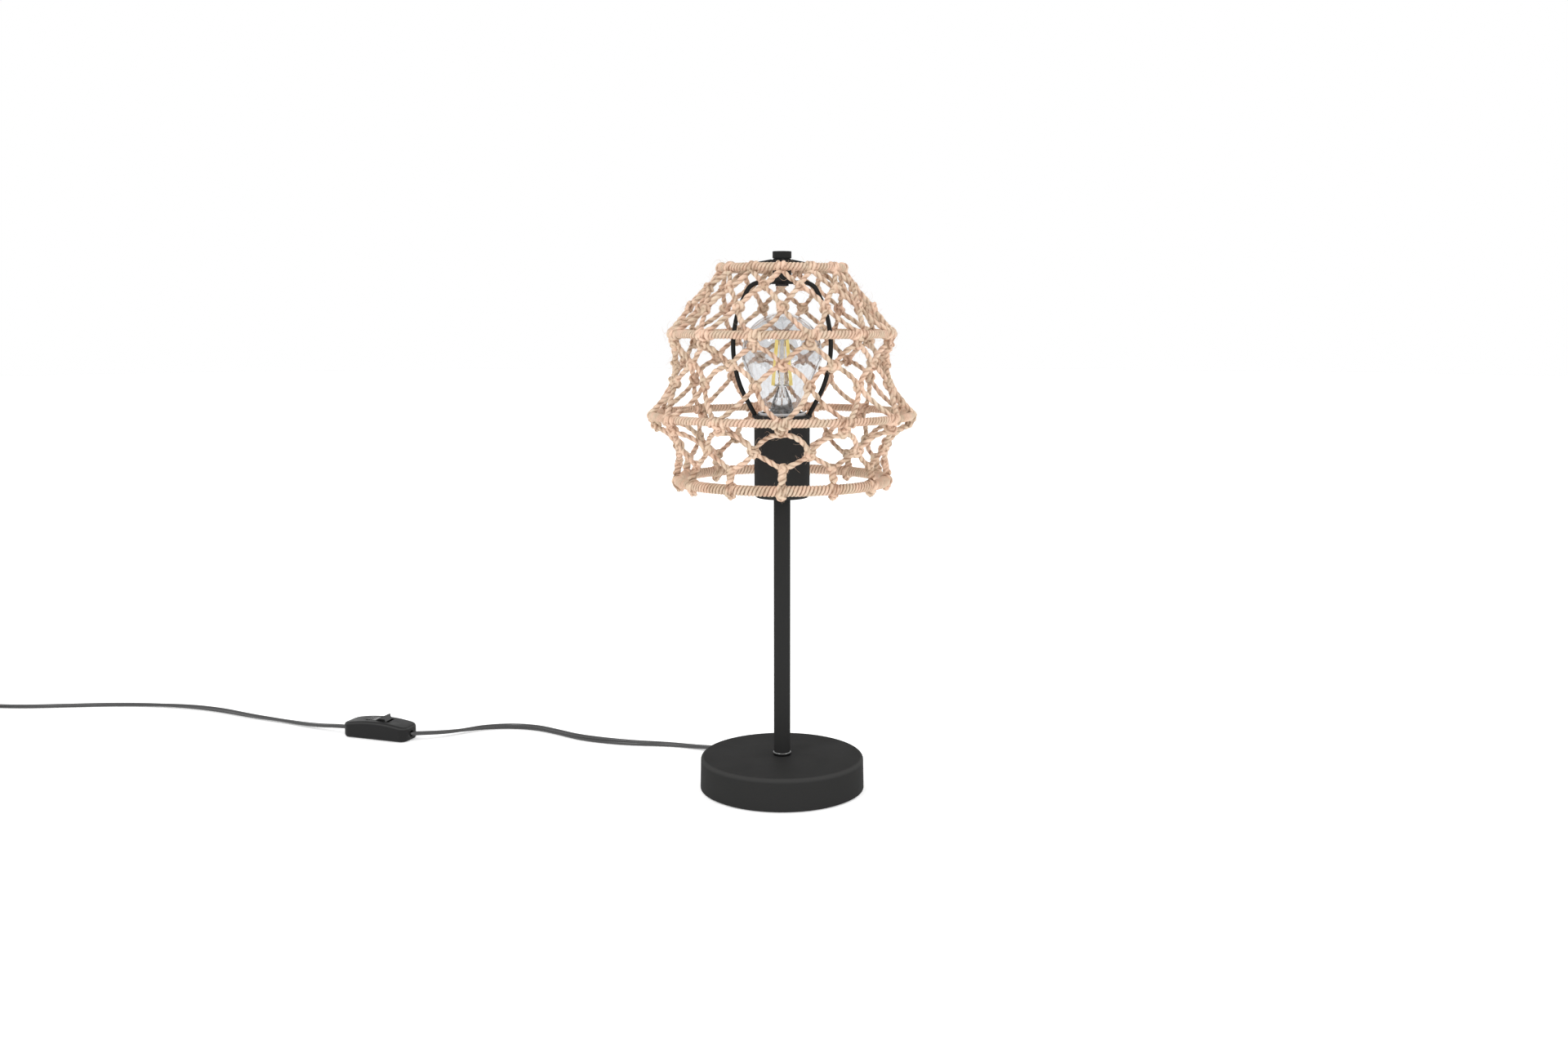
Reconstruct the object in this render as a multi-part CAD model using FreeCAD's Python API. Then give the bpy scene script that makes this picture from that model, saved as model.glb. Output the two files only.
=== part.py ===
import FreeCAD, Part
import math
import os

V = FreeCAD.Vector

# Table lamp with a knotted jute shade. Millimetres, +Z up, the front is -Y.
# The origin is at the middle of the base, on the table.

# Angles and counts
FULL_TURN = 360.0
HALF_TURN = 180.0
QUARTER_TURN = 90.0
HEXAGON_SIDES = 6
UP = V(0, 0, 1)

# General clearances
overrun = 2.0                 # how far a cutting tool passes a face
body_gap = 0.3                # rest gap between pieces that move apart
running_clearance = 0.05      # radial, in a pivot or on a thread
loose_clearance = 0.3         # radial, where a rod passes a hole
edge_tolerance = 0.05         # when edges are picked by their place
route_bend_share = 0.45       # of the shorter run at a corner of a route

# Base
base_radius = 63.5
base_height = 25.8
base_top_inset = 0.5
base_edge_radius = 3.0
base_wall = 1.0
pad_thickness = 2.0
pad_inset = 2.0
cover_floor_gap = 1.0
weight_rim_gap = 0.5
weight_disc_height = 10.0
weight_boss_radius = 18.0
recess_radius = 14.5
recess_height = 12.5
washer_radius = 11.0
washer_thickness = 1.5
nut_across_flats = 14.0
nut_height = 3.0
conduit_below_nut = 1.5

# Stem
conduit_radius = 5.0
conduit_bore = 4.0
stem_radius = 6.35
stem_wall = 1.0
stem_length = 198.4
foot_ring_radius = 7.0
foot_ring_height = 2.8
ring_round_share = 0.62       # of half the ring's height

# Lamp holder
cup_radius = 21.0
cup_height = 61.0
cup_wall = 0.8
cup_edge_radius = 3.0
cap_radius = 16.6
cap_wall = 2.0
cap_height = 23.0
conduit_in_cap = 8.0
insert_gap = 0.5
insert_height = 8.0
insert_lift = 10.0
screw_shell_wall = 0.4
screw_shell_height = 22.0
sleeve_height = 37.4
sleeve_mouth_radius = 15.6
sleeve_mouth_depth = 6.5
contact_width = 5.0
contact_thickness = 0.6
terminal_screw_radius = 1.5
terminal_screw_length = 5.0
terminal_spacing = 10.0

# Bulb, standard 60 mm pear shape with a 27 mm screw cap
bulb_radius = 30.0
bulb_dome_height = 81.3       # from the top of the cap to the top of the glass
bulb_wall = 0.8
bulb_cap_radius = 13.2
bulb_cap_wall = 0.4
bulb_cap_height = 21.0
bulb_neck_radius = 13.1
# Share of the change of radius, and of the height, from the neck to the widest place
bulb_waist_shares = ((0.0, 0.0), (0.10, 0.2), (0.38, 0.42), (0.70, 0.66), (0.93, 0.85), (1.0, 1.0))
insulator_height = 4.0
insulator_radius = 9.0
insulator_bore = 5.0
eyelet_radius = 4.6
eyelet_height = 1.0
stem_flare_radius = 9.5
stem_rim_height = 1.0
stem_flare_height = 26.0
stem_flare_shares = ((0.12, 1.0), (0.35, 0.93), (0.62, 0.72), (0.86, 0.45), (1.0, 0.3))
stem_rod_radius = 2.0
stem_rod_top = 63.0
filament_radius = 1.3
filament_bottom = 27.5
filament_top = 61.0
filament_bottom_spread = 10.5
filament_top_spread = 6.0
filament_azimuths = (50.0, 130.0, 230.0, 310.0)
support_radius = 0.5
support_end_share = 1.1       # of the filament's radius, where its wire stops short

# Harp, the wire arch over the bulb that carries the shade
harp_wire_radius = 1.7
harp_side_gap = 5.7           # from the glass to the wire at its widest
harp_foot_x = 20.3
harp_height = 97.4            # from the saddle to the strap
harp_knee_share = 0.76        # where the legs turn in, of the way from foot to widest
harp_level_shares = (0.25, 0.53, 0.785)
harp_shoulder_in_share = 0.9
harp_corner_in_share = 0.62
saddle_thickness = 1.6
saddle_inner_gap = 0.4
saddle_overhang = 1.5
ring_nut_radius = 18.1
ring_nut_height = 2.0
strap_width = 8.0
strap_half_length = 19.0
strap_thickness = 2.0
stud_radius = 2.95
stud_head_radius = 5.0
stud_head_height = 1.5
stud_above_hub = 4.6
spacer_radius = 7.0
spacer_height = 13.0

# Shade
hub_radius = 9.0
hub_thickness = 1.6
hub_hole_gap = 0.35
small_washer_radius = 6.6
small_washer_thickness = 0.6
arm_radius = 1.6
arm_azimuths = (35.0, 155.0, 275.0)
arm_inner_share = 0.75
hoop_wire_radius = 1.8
wrap_radius = 3.1
wrap_fit = 0.05
shade_lift_gap = 2.9          # between the harp and the top hoop as the shade lifts off
top_hoop_below_hub = 6.2
hoop_drop_2 = 48.1
hoop_drop_3 = 60.5
hoop_drop_4 = 49.1
hoop_radius_2 = 82.8
hoop_radius_3 = 97.0
hoop_radius_4 = 78.3
net_thickness = 2.5           # the yarn's, measured level
bite = 0.3                    # how deep the net presses into the wrapped hoops
# Knots of each band: share of the drop, and share of the change of radius, from its top hoop
upper_knot_shares = ((0.304, 0.304), (0.615, 0.608))
middle_knot_shares = ((0.125, -0.05), (0.355, -0.27), (0.587, -0.02))
lower_knot_shares = ((0.163, 0.16), (0.458, 0.936), (0.70, 1.096))

# Knob that holds the shade
knob_radius = 7.05
knob_height = 5.0
knob_hole_depth = 4.2
knob_edge = 0.4

# Cord, round here with the width of the flat twin lead
cord_radius = 2.7
lead_radius = 0.9
lead_offset = 1.4
gland_azimuth = 120.0
gland_height = 9.0
gland_flange_radius = 5.6
gland_flange_thickness = 1.5
gland_neck_radius = 4.6
gland_tip_radius = 3.6
gland_length = 9.0
cord_fit = 0.05
cord_slot_width = 13.0
cord_inner_end = 24.0         # distance from the axis where the sheath is stripped
clamp_distance = 31.0
clamp_length = 6.0
clamp_bar_length = 24.0
clamp_height = 3.0
clamp_screw_radius = 1.5
clamp_screw_head = 2.6
clamp_screw_head_height = 1.8
clamp_screw_length = 9.0
clamp_screw_side = 9.2
lead_low = 6.2
# Route on the table from the gland to the switch, chosen by hand. The first point is the gland's tip.
lamp_route = (
    (-46.0, 79.7, 7.2), (-58.5, 93.0, 3.8), (-75.0, 102.5, 2.7), (-98.0, 109.5, 2.7),
    (-126.0, 111.0, 2.7), (-152.0, 117.0, 2.7), (-176.0, 127.0, 2.7), (-196.0, 143.0, 2.7),
    (-216.0, 157.0, 2.7), (-240.0, 163.0, 2.7), (-264.0, 159.5, 2.7), (-280.0, 148.5, 3.2),
    (-294.5, 137.5, 4.4), (-309.0, 129.8, 5.6), (-323.5, 126.9, 6.0),
)
# Route from the switch to the coil, whose first turn begins at the last point
plug_route = (
    (-376.5, 147.0, 6.0), (-392.0, 152.6, 5.8), (-408.0, 160.0, 4.0), (-428.0, 171.5, 2.8),
    (-454.0, 184.6, 2.7), (-484.0, 197.5, 2.7), (-514.0, 214.5, 2.7), (-548.0, 229.5, 2.7),
    (-588.0, 238.5, 2.7), (-630.0, 240.5, 2.7), (-672.0, 236.0, 2.8), (-712.0, 232.5, 3.2),
    (-742.0, 235.7, 3.7), (-770.0, 235.0, 3.7),
)
coil_turns = 5.25
coil_mean_radius = 28.6
coil_gap = 0.6
coil_step_share = 0.25        # of a turn between the stations of the coil's curve
gap_samples = 48              # points per turn when the coil's least gap is measured
tie_width = 4.0
tie_thickness = 0.6
tie_gap = 0.3
tie_azimuth = -30.0
tail_run = 26.0
tail_turn_share = 0.16

# Inline switch
switch_centre = V(-350.0, 137.7, 0)
switch_heading = -19.2
switch_length = 63.0
switch_width = 23.0
switch_height = 16.0
switch_end_height = 12.4
switch_split = 7.6
switch_corner = 6.5
switch_edge = 2.5
switch_wall = 1.6
switch_cord_height = 6.0
rocker_length = 18.4
rocker_width = 9.6
rocker_foot_share = 0.75
rocker_gap = 0.35
rocker_tilt = 14.0
rocker_pivot_height = 11.5
rocker_dip_height = 16.2      # the low middle of the rocker's top
rocker_bottom_height = 9.4
rocker_window_gap = 0.6
rib_count = 3
rib_width = 0.9
rib_depth = 0.5
rib_pitch = 1.9
rocker_pin_radius = 1.2
rocker_pin_length = 15.0
ear_width = 4.4
ear_thickness = 1.6
terminal_length = 7.0
terminal_width = 4.0
terminal_height = 5.0
terminal_place_share = 0.27
switch_screw_radius = 1.4
switch_screw_head = 2.6
switch_screw_head_height = 1.6
switch_screw_length = 9.0
switch_screw_place_share = 0.39
switch_screw_side = 6.2

# Two-pin plug
plug_height = 13.7
plug_width = 35.3
plug_length = 26.0
plug_back_width = 15.0
plug_shoulder_share = 0.5
plug_neck_length = 10.0
plug_neck_radius = 4.2
plug_edge = 1.5
pin_radius = 2.0
pin_length = 19.0
pin_root = 8.0
pin_root_radius = 1.6
pin_tip_share = 0.5
pin_spacing = 19.0

# Heights that follow from the sizes above
cover_bottom = cover_floor_gap
weight_bottom = pad_thickness
weight_step = weight_bottom + weight_disc_height
clamp_top = weight_step + clamp_height
cover_ceiling = base_height - base_wall
recess_top = weight_bottom + recess_height
nut_bottom = recess_top - washer_thickness - nut_height
conduit_bottom = nut_bottom - conduit_below_nut
stem_bottom = base_height + foot_ring_height
cup_bottom = stem_bottom + stem_length
cup_top = cup_bottom + cup_height
cup_nut_bottom = cup_bottom + cup_wall
cap_bottom = cup_nut_bottom + nut_height
conduit_top = cap_bottom + conduit_in_cap
insert_bottom = cap_bottom + insert_lift
insert_top = insert_bottom + insert_height
sleeve_bottom = cap_bottom + cap_height
sleeve_top = sleeve_bottom + sleeve_height
saddle_top = cup_top + saddle_thickness
bulb_cap_top = sleeve_top - sleeve_mouth_depth
bulb_cap_bottom = bulb_cap_top - bulb_cap_height
insulator_bottom = bulb_cap_bottom - insulator_height
eyelet_bottom = insulator_bottom - eyelet_height
bulb_top = bulb_cap_top + bulb_dome_height
screw_shell_bottom = bulb_cap_top - screw_shell_height
contact_tip = eyelet_bottom - body_gap
harp_half_width = bulb_radius + harp_side_gap + harp_wire_radius
strap_bottom = saddle_top + harp_height
strap_top = strap_bottom + strap_thickness
spacer_top = strap_top + spacer_height
hub_bottom = spacer_top + body_gap + small_washer_thickness + body_gap
hub_top = hub_bottom + hub_thickness
knob_washer_bottom = hub_top + body_gap
knob_bottom = knob_washer_bottom + small_washer_thickness + body_gap
knob_top = knob_bottom + knob_height
stud_top = hub_top + stud_above_hub
hoop_radius_1 = harp_half_width + harp_wire_radius + shade_lift_gap + wrap_radius
hoop_z_1 = hub_top - top_hoop_below_hub
hoop_z_2 = hoop_z_1 - hoop_drop_2
hoop_z_3 = hoop_z_2 - hoop_drop_3
hoop_z_4 = hoop_z_3 - hoop_drop_4
hoops = (
    (hoop_radius_1, hoop_z_1), (hoop_radius_2, hoop_z_2),
    (hoop_radius_3, hoop_z_3), (hoop_radius_4, hoop_z_4),
)
gland_tip = base_radius + gland_length
coil_pitch = cord_radius * 2 + coil_gap
coil_in_turns = (coil_turns - 0.5) / 2
coil_outer_radius = coil_mean_radius + coil_pitch * coil_in_turns / 2
coil_start = V(*plug_route[-1])
coil_centre = V(coil_start.x, coil_start.y - coil_outer_radius, 0)


def save(name, shape):
    """One STEP file for one node."""
    shape.exportStep("parts/" + name + ".step")
    print(name, "volume %.1f" % shape.Volume, "valid", shape.isValid())


def around(azimuth):
    """Unit vector in plan at an azimuth in degrees."""
    return V(math.cos(math.radians(azimuth)), math.sin(math.radians(azimuth)), 0)


def rod(radius, start, end):
    """Round bar between two points."""
    return Part.makeCylinder(radius, (end - start).Length, start, end - start)


def disc(radius, bottom, top, centre=V(0, 0, 0)):
    """Upright cylinder between two heights."""
    return Part.makeCylinder(radius, top - bottom, V(centre.x, centre.y, bottom))


def ring(outer, inner, bottom, top):
    """Upright tube about the lamp's axis, between two heights."""
    return disc(outer, bottom, top).cut(disc(inner, bottom - overrun, top + overrun))


def hexagon(across_flats, bottom, height):
    """Six-sided nut blank about the lamp's axis."""
    step = FULL_TURN / HEXAGON_SIDES
    corner = across_flats / 2 / math.cos(math.radians(step / 2))
    points = [around(step * i) * corner + UP * bottom for i in range(HEXAGON_SIDES + 1)]
    return Part.Face(Part.makePolygon(points)).extrude(UP * height)


def turned(points):
    """Solid of revolution from an outline of (radius, height) points."""
    corners = [V(r, 0, z) for r, z in points]
    face = Part.Face(Part.makePolygon(corners + [corners[0]]))
    return face.revolve(V(0, 0, 0), UP, FULL_TURN)


def fused(shapes):
    """One solid from several that meet."""
    return shapes[0].multiFuse(shapes[1:]).removeSplitter()


def grouped(shapes):
    """Separate solids kept in one node."""
    return Part.makeCompound(shapes)


def corner_radii(points, limit=None):
    """Radius at each inner corner of a route, from a share of the shorter run and the turn."""
    radii = []
    for before, here, after in zip(points, points[1:], points[2:]):
        a = here - before
        b = after - here
        radius = route_bend_share * min(a.Length, b.Length) / math.tan(a.getAngle(b) / 2)
        radii.append(radius if limit is None else min(radius, limit))
    return radii


def rounded_route(points, limit=None):
    """Straight runs joined by tangent arcs, as one wire."""
    edges = []
    start = points[0]
    for i, radius in enumerate(corner_radii(points, limit)):
        here = points[i + 1]
        back = (points[i] - here).normalize()
        ahead = (points[i + 2] - here).normalize()
        half = (HALF_TURN - math.degrees(back.getAngle(ahead))) / 2
        reach = radius * math.tan(math.radians(half))
        first = here + back * reach
        last = here + ahead * reach
        bisector = (back + ahead).normalize()
        middle = here + bisector * (radius / math.cos(math.radians(half)) - radius)
        edges.append(Part.LineSegment(start, first).toShape())
        edges.append(Part.Arc(first, middle, last).toShape())
        start = last
    edges.append(Part.LineSegment(start, points[-1]).toShape())
    return Part.Wire(edges)


def swept(wire, radius, heading):
    """Round tube along a wire that starts in a given direction."""
    start = wire.Edges[0].valueAt(wire.Edges[0].FirstParameter)
    profile = Part.Wire(Part.makeCircle(radius, start, heading))
    return wire.makePipeShell([profile], True, False)


def route_tube(points, radius, limit=None):
    """Tube along a rounded route, ready to meet flat faces at both ends."""
    return swept(rounded_route(points, limit), radius, points[1] - points[0])


def report_route(name, points, radius):
    """Print a tube's tightest radius, length, and how its volume compares."""
    wire = rounded_route(points)
    tube = route_tube(points, radius)
    ratio = tube.Volume / (math.pi * radius ** 2 * wire.Length)
    print(name, "radii", [round(r, 1) for r in corner_radii(points)])
    print(name, "length %.1f volume ratio %.4f" % (wire.Length, ratio))
    return tube


# Base: a spun cover over a cast weight, on a soft pad
def base_cover():
    top_radius = base_radius - base_top_inset
    outer = turned([
        (0, cover_bottom), (base_radius, cover_bottom),
        (top_radius, base_height), (0, base_height),
    ])
    rim = [e for e in outer.Edges if abs(e.CenterOfMass.z - base_height) < base_wall
           and e.Length > base_radius]
    outer = outer.makeFillet(base_edge_radius, rim)
    inner = turned([
        (0, cover_bottom - overrun), (base_radius - base_wall, cover_bottom - overrun),
        (top_radius - base_wall, cover_ceiling), (0, cover_ceiling),
    ])
    rim = [e for e in inner.Edges if abs(e.CenterOfMass.z - cover_ceiling) < base_wall
           and e.Length > base_radius]
    inner = inner.makeFillet(max(base_edge_radius - base_wall, base_wall), rim)
    stem_hole = disc(conduit_radius + loose_clearance, cover_ceiling - overrun, base_height + overrun)
    out = around(gland_azimuth)
    gland_hole = rod(
        gland_neck_radius + cord_fit,
        out * (base_radius - base_wall - overrun) + UP * gland_height,
        out * (base_radius + overrun) + UP * gland_height,
    )
    return outer.cut(inner).cut(stem_hole).cut(gland_hole)


def cord_slot():
    """Radial channel through the weight for the cord."""
    slot = Part.makeBox(
        base_radius + overrun, cord_slot_width, recess_height + overrun,
        V(0, -cord_slot_width / 2, weight_bottom - overrun),
    )
    slot.rotate(V(0, 0, 0), UP, gland_azimuth)
    return slot


def base_weight():
    disc_radius = base_radius - base_wall - weight_rim_gap - base_top_inset / 2
    body = fused([
        disc(disc_radius, weight_bottom, weight_step),
        disc(weight_boss_radius, weight_bottom, cover_ceiling),
    ])
    recess = disc(recess_radius, weight_bottom - overrun, recess_top)
    hole = disc(conduit_radius + loose_clearance, weight_bottom, cover_ceiling + overrun)
    body = body.cut(recess).cut(hole).cut(cord_slot())
    for side in (-1, 1):
        body = body.cut(clamp_hole(
            side, clamp_top - clamp_screw_length, weight_step + overrun,
            clamp_screw_radius + running_clearance))
    return body


def base_pad():
    return disc(base_radius - pad_inset, 0, pad_thickness)


def base_washer():
    return ring(washer_radius, conduit_radius + loose_clearance, recess_top - washer_thickness, recess_top)


def pipe_nut(bottom):
    """Hexagon nut on the threaded conduit."""
    return hexagon(nut_across_flats, bottom, nut_height).cut(
        disc(conduit_radius + running_clearance, bottom - overrun, bottom + nut_height + overrun))


# Stem: a ring, a painted tube and the threaded conduit that clamps them
def stem_foot_ring():
    edge = foot_ring_height / 2
    body = ring(foot_ring_radius, conduit_radius + loose_clearance, base_height, stem_bottom)
    rims = [e for e in body.Edges if e.Length > 2 * math.pi * (foot_ring_radius - edge / 2)]
    return body.makeFillet(edge * ring_round_share, rims)


def stem_tube():
    return ring(stem_radius, stem_radius - stem_wall, stem_bottom, cup_bottom)


def threaded_conduit():
    return ring(conduit_radius, conduit_bore, conduit_bottom, conduit_top)


# Lamp holder: cup, cap, insert, sleeve and contacts
def holder_cup():
    outer = disc(cup_radius, cup_bottom, cup_top)
    rim = [e for e in outer.Edges if abs(e.CenterOfMass.z - cup_bottom) < cup_wall
           and e.Length > cup_radius and abs(e.BoundBox.ZLength) < cup_wall]
    outer = outer.makeFillet(cup_edge_radius, rim)
    inner = disc(cup_radius - cup_wall, cup_bottom + cup_wall, cup_top + overrun)
    rim = [e for e in inner.Edges if abs(e.CenterOfMass.z - cup_bottom - cup_wall) < cup_wall
           and e.Length > cup_radius and abs(e.BoundBox.ZLength) < cup_wall]
    inner = inner.makeFillet(cup_edge_radius - cup_wall, rim)
    hole = disc(conduit_radius + loose_clearance, cup_bottom - overrun, cup_bottom + overrun)
    return outer.cut(inner).cut(hole)


def holder_cap():
    body = disc(cap_radius, cap_bottom, sleeve_bottom)
    cavity = disc(cap_radius - cap_wall, insert_bottom, sleeve_bottom + overrun)
    wire_room = disc(cap_radius - cap_wall - insert_gap, conduit_top, insert_bottom + overrun)
    bore = disc(conduit_radius + running_clearance, cap_bottom - overrun, conduit_top + overrun)
    return body.cut(cavity).cut(wire_room).cut(bore)


def holder_insert():
    body = disc(cap_radius - cap_wall - insert_gap, insert_bottom, insert_top)
    for side in (-1, 1):
        place = V(side * terminal_spacing, 0, 0)
        body = body.cut(disc(
            terminal_screw_radius + running_clearance,
            insert_top - terminal_screw_length, insert_top + overrun, place))
        lead_place = V(side * terminal_spacing / 2, 0, 0)
        body = body.cut(disc(
            lead_radius + loose_clearance, insert_bottom - overrun, insert_top + overrun, lead_place))
    return body


def terminal_screws():
    bottom = insert_top - terminal_screw_length
    return grouped([
        disc(terminal_screw_radius, bottom, insert_top, V(side * terminal_spacing, 0, 0))
        for side in (-1, 1)])


def centre_contact():
    """Bent brass tongue from the insert up to the bulb's eyelet."""
    half = contact_width / 2
    foot = Part.makeBox(
        contact_width, contact_width * 2, contact_thickness,
        V(-half, half, insert_top))
    riser = Part.makeBox(
        contact_width, contact_thickness, contact_tip - insert_top,
        V(-half, half, insert_top))
    tip = Part.makeBox(
        contact_width, contact_width, contact_thickness,
        V(-half, -half + contact_thickness, contact_tip - contact_thickness))
    return fused([foot, riser, tip])


def holder_sleeve():
    body = disc(cap_radius, sleeve_bottom, sleeve_top)
    shell_outer = bulb_cap_radius + body_gap + screw_shell_wall
    bore = disc(shell_outer + running_clearance, sleeve_bottom - overrun, sleeve_top + overrun)
    mouth = disc(sleeve_mouth_radius, bulb_cap_top, sleeve_top + overrun)
    return body.cut(bore).cut(mouth)


def screw_shell():
    inner = bulb_cap_radius + body_gap
    return ring(inner + screw_shell_wall, inner, screw_shell_bottom, bulb_cap_top)


# Bulb: screw cap, glass, stem and filaments
def bulb_cap():
    return ring(bulb_cap_radius, bulb_cap_radius - bulb_cap_wall, bulb_cap_bottom, bulb_cap_top)


def bulb_insulator():
    body = turned([
        (insulator_bore, insulator_bottom), (insulator_radius, insulator_bottom),
        (bulb_cap_radius - bulb_cap_wall, bulb_cap_bottom),
        (bulb_cap_radius - bulb_cap_wall, bulb_cap_bottom + bulb_cap_wall),
        (insulator_bore, bulb_cap_bottom + bulb_cap_wall),
    ])
    return body


def bulb_eyelet():
    flange = disc(eyelet_radius, eyelet_bottom, insulator_bottom)
    plug = disc(insulator_bore, insulator_bottom, bulb_cap_bottom)
    return fused([flange, plug])


def glass_outline(offset):
    """Edges of the pear shape from the neck to the top, inset by an offset."""
    radius = bulb_radius - offset
    centre = bulb_top - bulb_radius
    neck = bulb_neck_radius - offset
    reach = centre - bulb_cap_top
    points = [V(neck + (radius - neck) * r, 0, bulb_cap_top + reach * z) for r, z in bulb_waist_shares]
    side = Part.BSplineCurve()
    side.interpolate(Points=points, InitialTangent=V(0, 0, 1), FinalTangent=V(0, 0, 1))
    slant = radius * math.sqrt(0.5)
    dome = Part.Arc(V(radius, 0, centre), V(slant, 0, centre + slant), V(0, 0, centre + radius))
    return [side.toShape(), dome.toShape()], neck, centre + radius


def bulb_glass():
    """Thin glass, open at the neck where the cap closes it."""
    outer, outer_neck, outer_top = glass_outline(0)
    inner, inner_neck, inner_top = glass_outline(bulb_wall)
    rim = Part.LineSegment(V(outer_neck, 0, bulb_cap_top), V(inner_neck, 0, bulb_cap_top)).toShape()
    crown = Part.LineSegment(V(0, 0, outer_top), V(0, 0, inner_top)).toShape()
    wire = Part.Wire(Part.__sortEdges__(outer + inner + [rim, crown]))
    return Part.Face(wire).revolve(V(0, 0, 0), UP, FULL_TURN)


def glass_stem():
    """Flared glass mount with a rod up the middle."""
    rim = bulb_neck_radius - bulb_wall - running_clearance
    outline = [(0, bulb_cap_top), (rim, bulb_cap_top), (rim, bulb_cap_top + stem_rim_height)]
    for height_share, radius_share in stem_flare_shares:
        outline.append((stem_flare_radius * radius_share, bulb_cap_top + stem_flare_height * height_share))
    outline.append((stem_rod_radius, bulb_cap_top + stem_flare_height))
    outline.append((stem_rod_radius, bulb_cap_top + stem_rod_top))
    outline.append((0, bulb_cap_top + stem_rod_top))
    return turned(outline)


def filament_ends(azimuth):
    low = around(azimuth) * filament_bottom_spread + UP * (bulb_cap_top + filament_bottom)
    high = around(azimuth) * filament_top_spread + UP * (bulb_cap_top + filament_top)
    return low, high


def filaments():
    return grouped([rod(filament_radius, *filament_ends(a)) for a in filament_azimuths])


def filament_supports():
    """Wires from the stem's rod to the two ends of each filament."""
    wires = []
    for azimuth in filament_azimuths:
        for end in filament_ends(azimuth):
            along = around(azimuth)
            root = along * (stem_rod_radius - support_radius / 2) + UP * end.z
            tip = along * ((end - UP * end.z).Length - filament_radius * support_end_share) + UP * end.z
            wires.append(rod(support_radius, root, tip))
    return grouped(wires)


# Harp: saddle on the cup, wire arch, strap, stud and spacer
def harp_saddle():
    return ring(cup_radius + saddle_overhang, cap_radius + saddle_inner_gap, cup_top, saddle_top)


def saddle_ring_nut():
    return ring(ring_nut_radius, cap_radius + running_clearance, saddle_top, saddle_top + ring_nut_height)


def harp_points(side):
    """Leg of the arch from its foot to the strap, on one side."""
    low, mid, high = harp_level_shares
    foot = V(side * harp_foot_x, 0, saddle_top)
    reach = harp_half_width - harp_foot_x
    corner_height = strap_bottom + strap_thickness / 2
    return [
        foot,
        V(side * (harp_foot_x + reach * harp_knee_share), 0, saddle_top + harp_height * low),
        V(side * harp_half_width, 0, saddle_top + harp_height * mid),
        V(side * harp_half_width * harp_shoulder_in_share, 0, saddle_top + harp_height * high),
        V(side * harp_half_width * harp_corner_in_share, 0, corner_height),
        V(side * strap_half_length * harp_shoulder_in_share / 2, 0, corner_height),
    ]


def harp():
    strap = Part.makeBox(
        strap_half_length * 2, strap_width, strap_thickness,
        V(-strap_half_length, -strap_width / 2, strap_bottom))
    legs = [route_tube(harp_points(side), harp_wire_radius) for side in (-1, 1)]
    floor = disc(cup_radius * 2, saddle_top - overrun, saddle_top)
    hole = disc(stud_radius, strap_bottom - overrun, strap_top + overrun)
    head_room = disc(spacer_radius, strap_top, spacer_top)
    body = fused([strap] + legs)
    return body.cut(floor).cut(hole).cut(head_room)


def harp_stud():
    head = disc(stud_head_radius, strap_bottom - stud_head_height, strap_bottom)
    return fused([head, disc(stud_radius, strap_bottom, stud_top)])


def top_spacer():
    return ring(spacer_radius, stud_radius + running_clearance, strap_top, spacer_top)


# Shade frame: hub with three arms, four hoops and their jute wraps
def stud_washer(bottom):
    return ring(small_washer_radius, stud_radius + hub_hole_gap, bottom, bottom + small_washer_thickness)


def shade_spider():
    hub = disc(hub_radius, hub_bottom, hub_top)
    arms = []
    for azimuth in arm_azimuths:
        start = around(azimuth) * (hub_radius * arm_inner_share) + UP * (hub_top - hub_thickness / 2)
        end = around(azimuth) * hoop_radius_1 + UP * hoop_z_1
        arms.append(rod(arm_radius, start, end))
    hole = disc(stud_radius + hub_hole_gap, hub_bottom - overrun, hub_top + overrun)
    room_below = disc(hub_radius, hub_bottom - arm_radius * 2, hub_bottom)
    room_above = disc(hub_radius, hub_top, hub_top + arm_radius * 2)
    wire = Part.makeTorus(hoop_radius_1, hoop_wire_radius, V(0, 0, hoop_z_1))
    return fused([hub] + arms).cut(hole).cut(room_below).cut(room_above).cut(wire)


def hoop_wires():
    return grouped([Part.makeTorus(radius, hoop_wire_radius, V(0, 0, z)) for radius, z in hoops])


def hoop_wrap(index):
    """Jute sleeve on one hoop, with room for the arms on the top one."""
    radius, z = hoops[index]
    sleeve = Part.makeTorus(radius, wrap_radius, V(0, 0, z)).cut(
        Part.makeTorus(radius, hoop_wire_radius + wrap_fit, V(0, 0, z)))
    if index == 0:
        for azimuth in arm_azimuths:
            out = around(azimuth)
            start = out * (hub_radius * arm_inner_share) + UP * (hub_top - hub_thickness / 2)
            sleeve = sleeve.cut(rod(arm_radius + wrap_fit, start, out * radius + UP * z))
    return sleeve


# Net of the shade: a plain closed band between each two hoops, through the places of its knots
def net_band(top_index, knot_shares):
    top_radius, top_z = hoops[top_index]
    low_radius, low_z = hoops[top_index + 1]
    line = [(0.0, 0.0)] + list(knot_shares) + [(1.0, 1.0)]
    line = [V(top_radius + (low_radius - top_radius) * radius_share, 0, top_z + (low_z - top_z) * drop_share)
            for drop_share, radius_share in line]
    top_end = line[0] + (line[1] - line[0]).normalize() * (wrap_radius - bite)
    low_end = line[-1] + (line[-2] - line[-1]).normalize() * (wrap_radius - bite)
    line = [top_end] + line[1:-1] + [low_end]
    outer = [(point.x + net_thickness / 2, point.z) for point in line]
    inner = [(point.x - net_thickness / 2, point.z) for point in reversed(line)]
    return turned(outer + inner)


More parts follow.
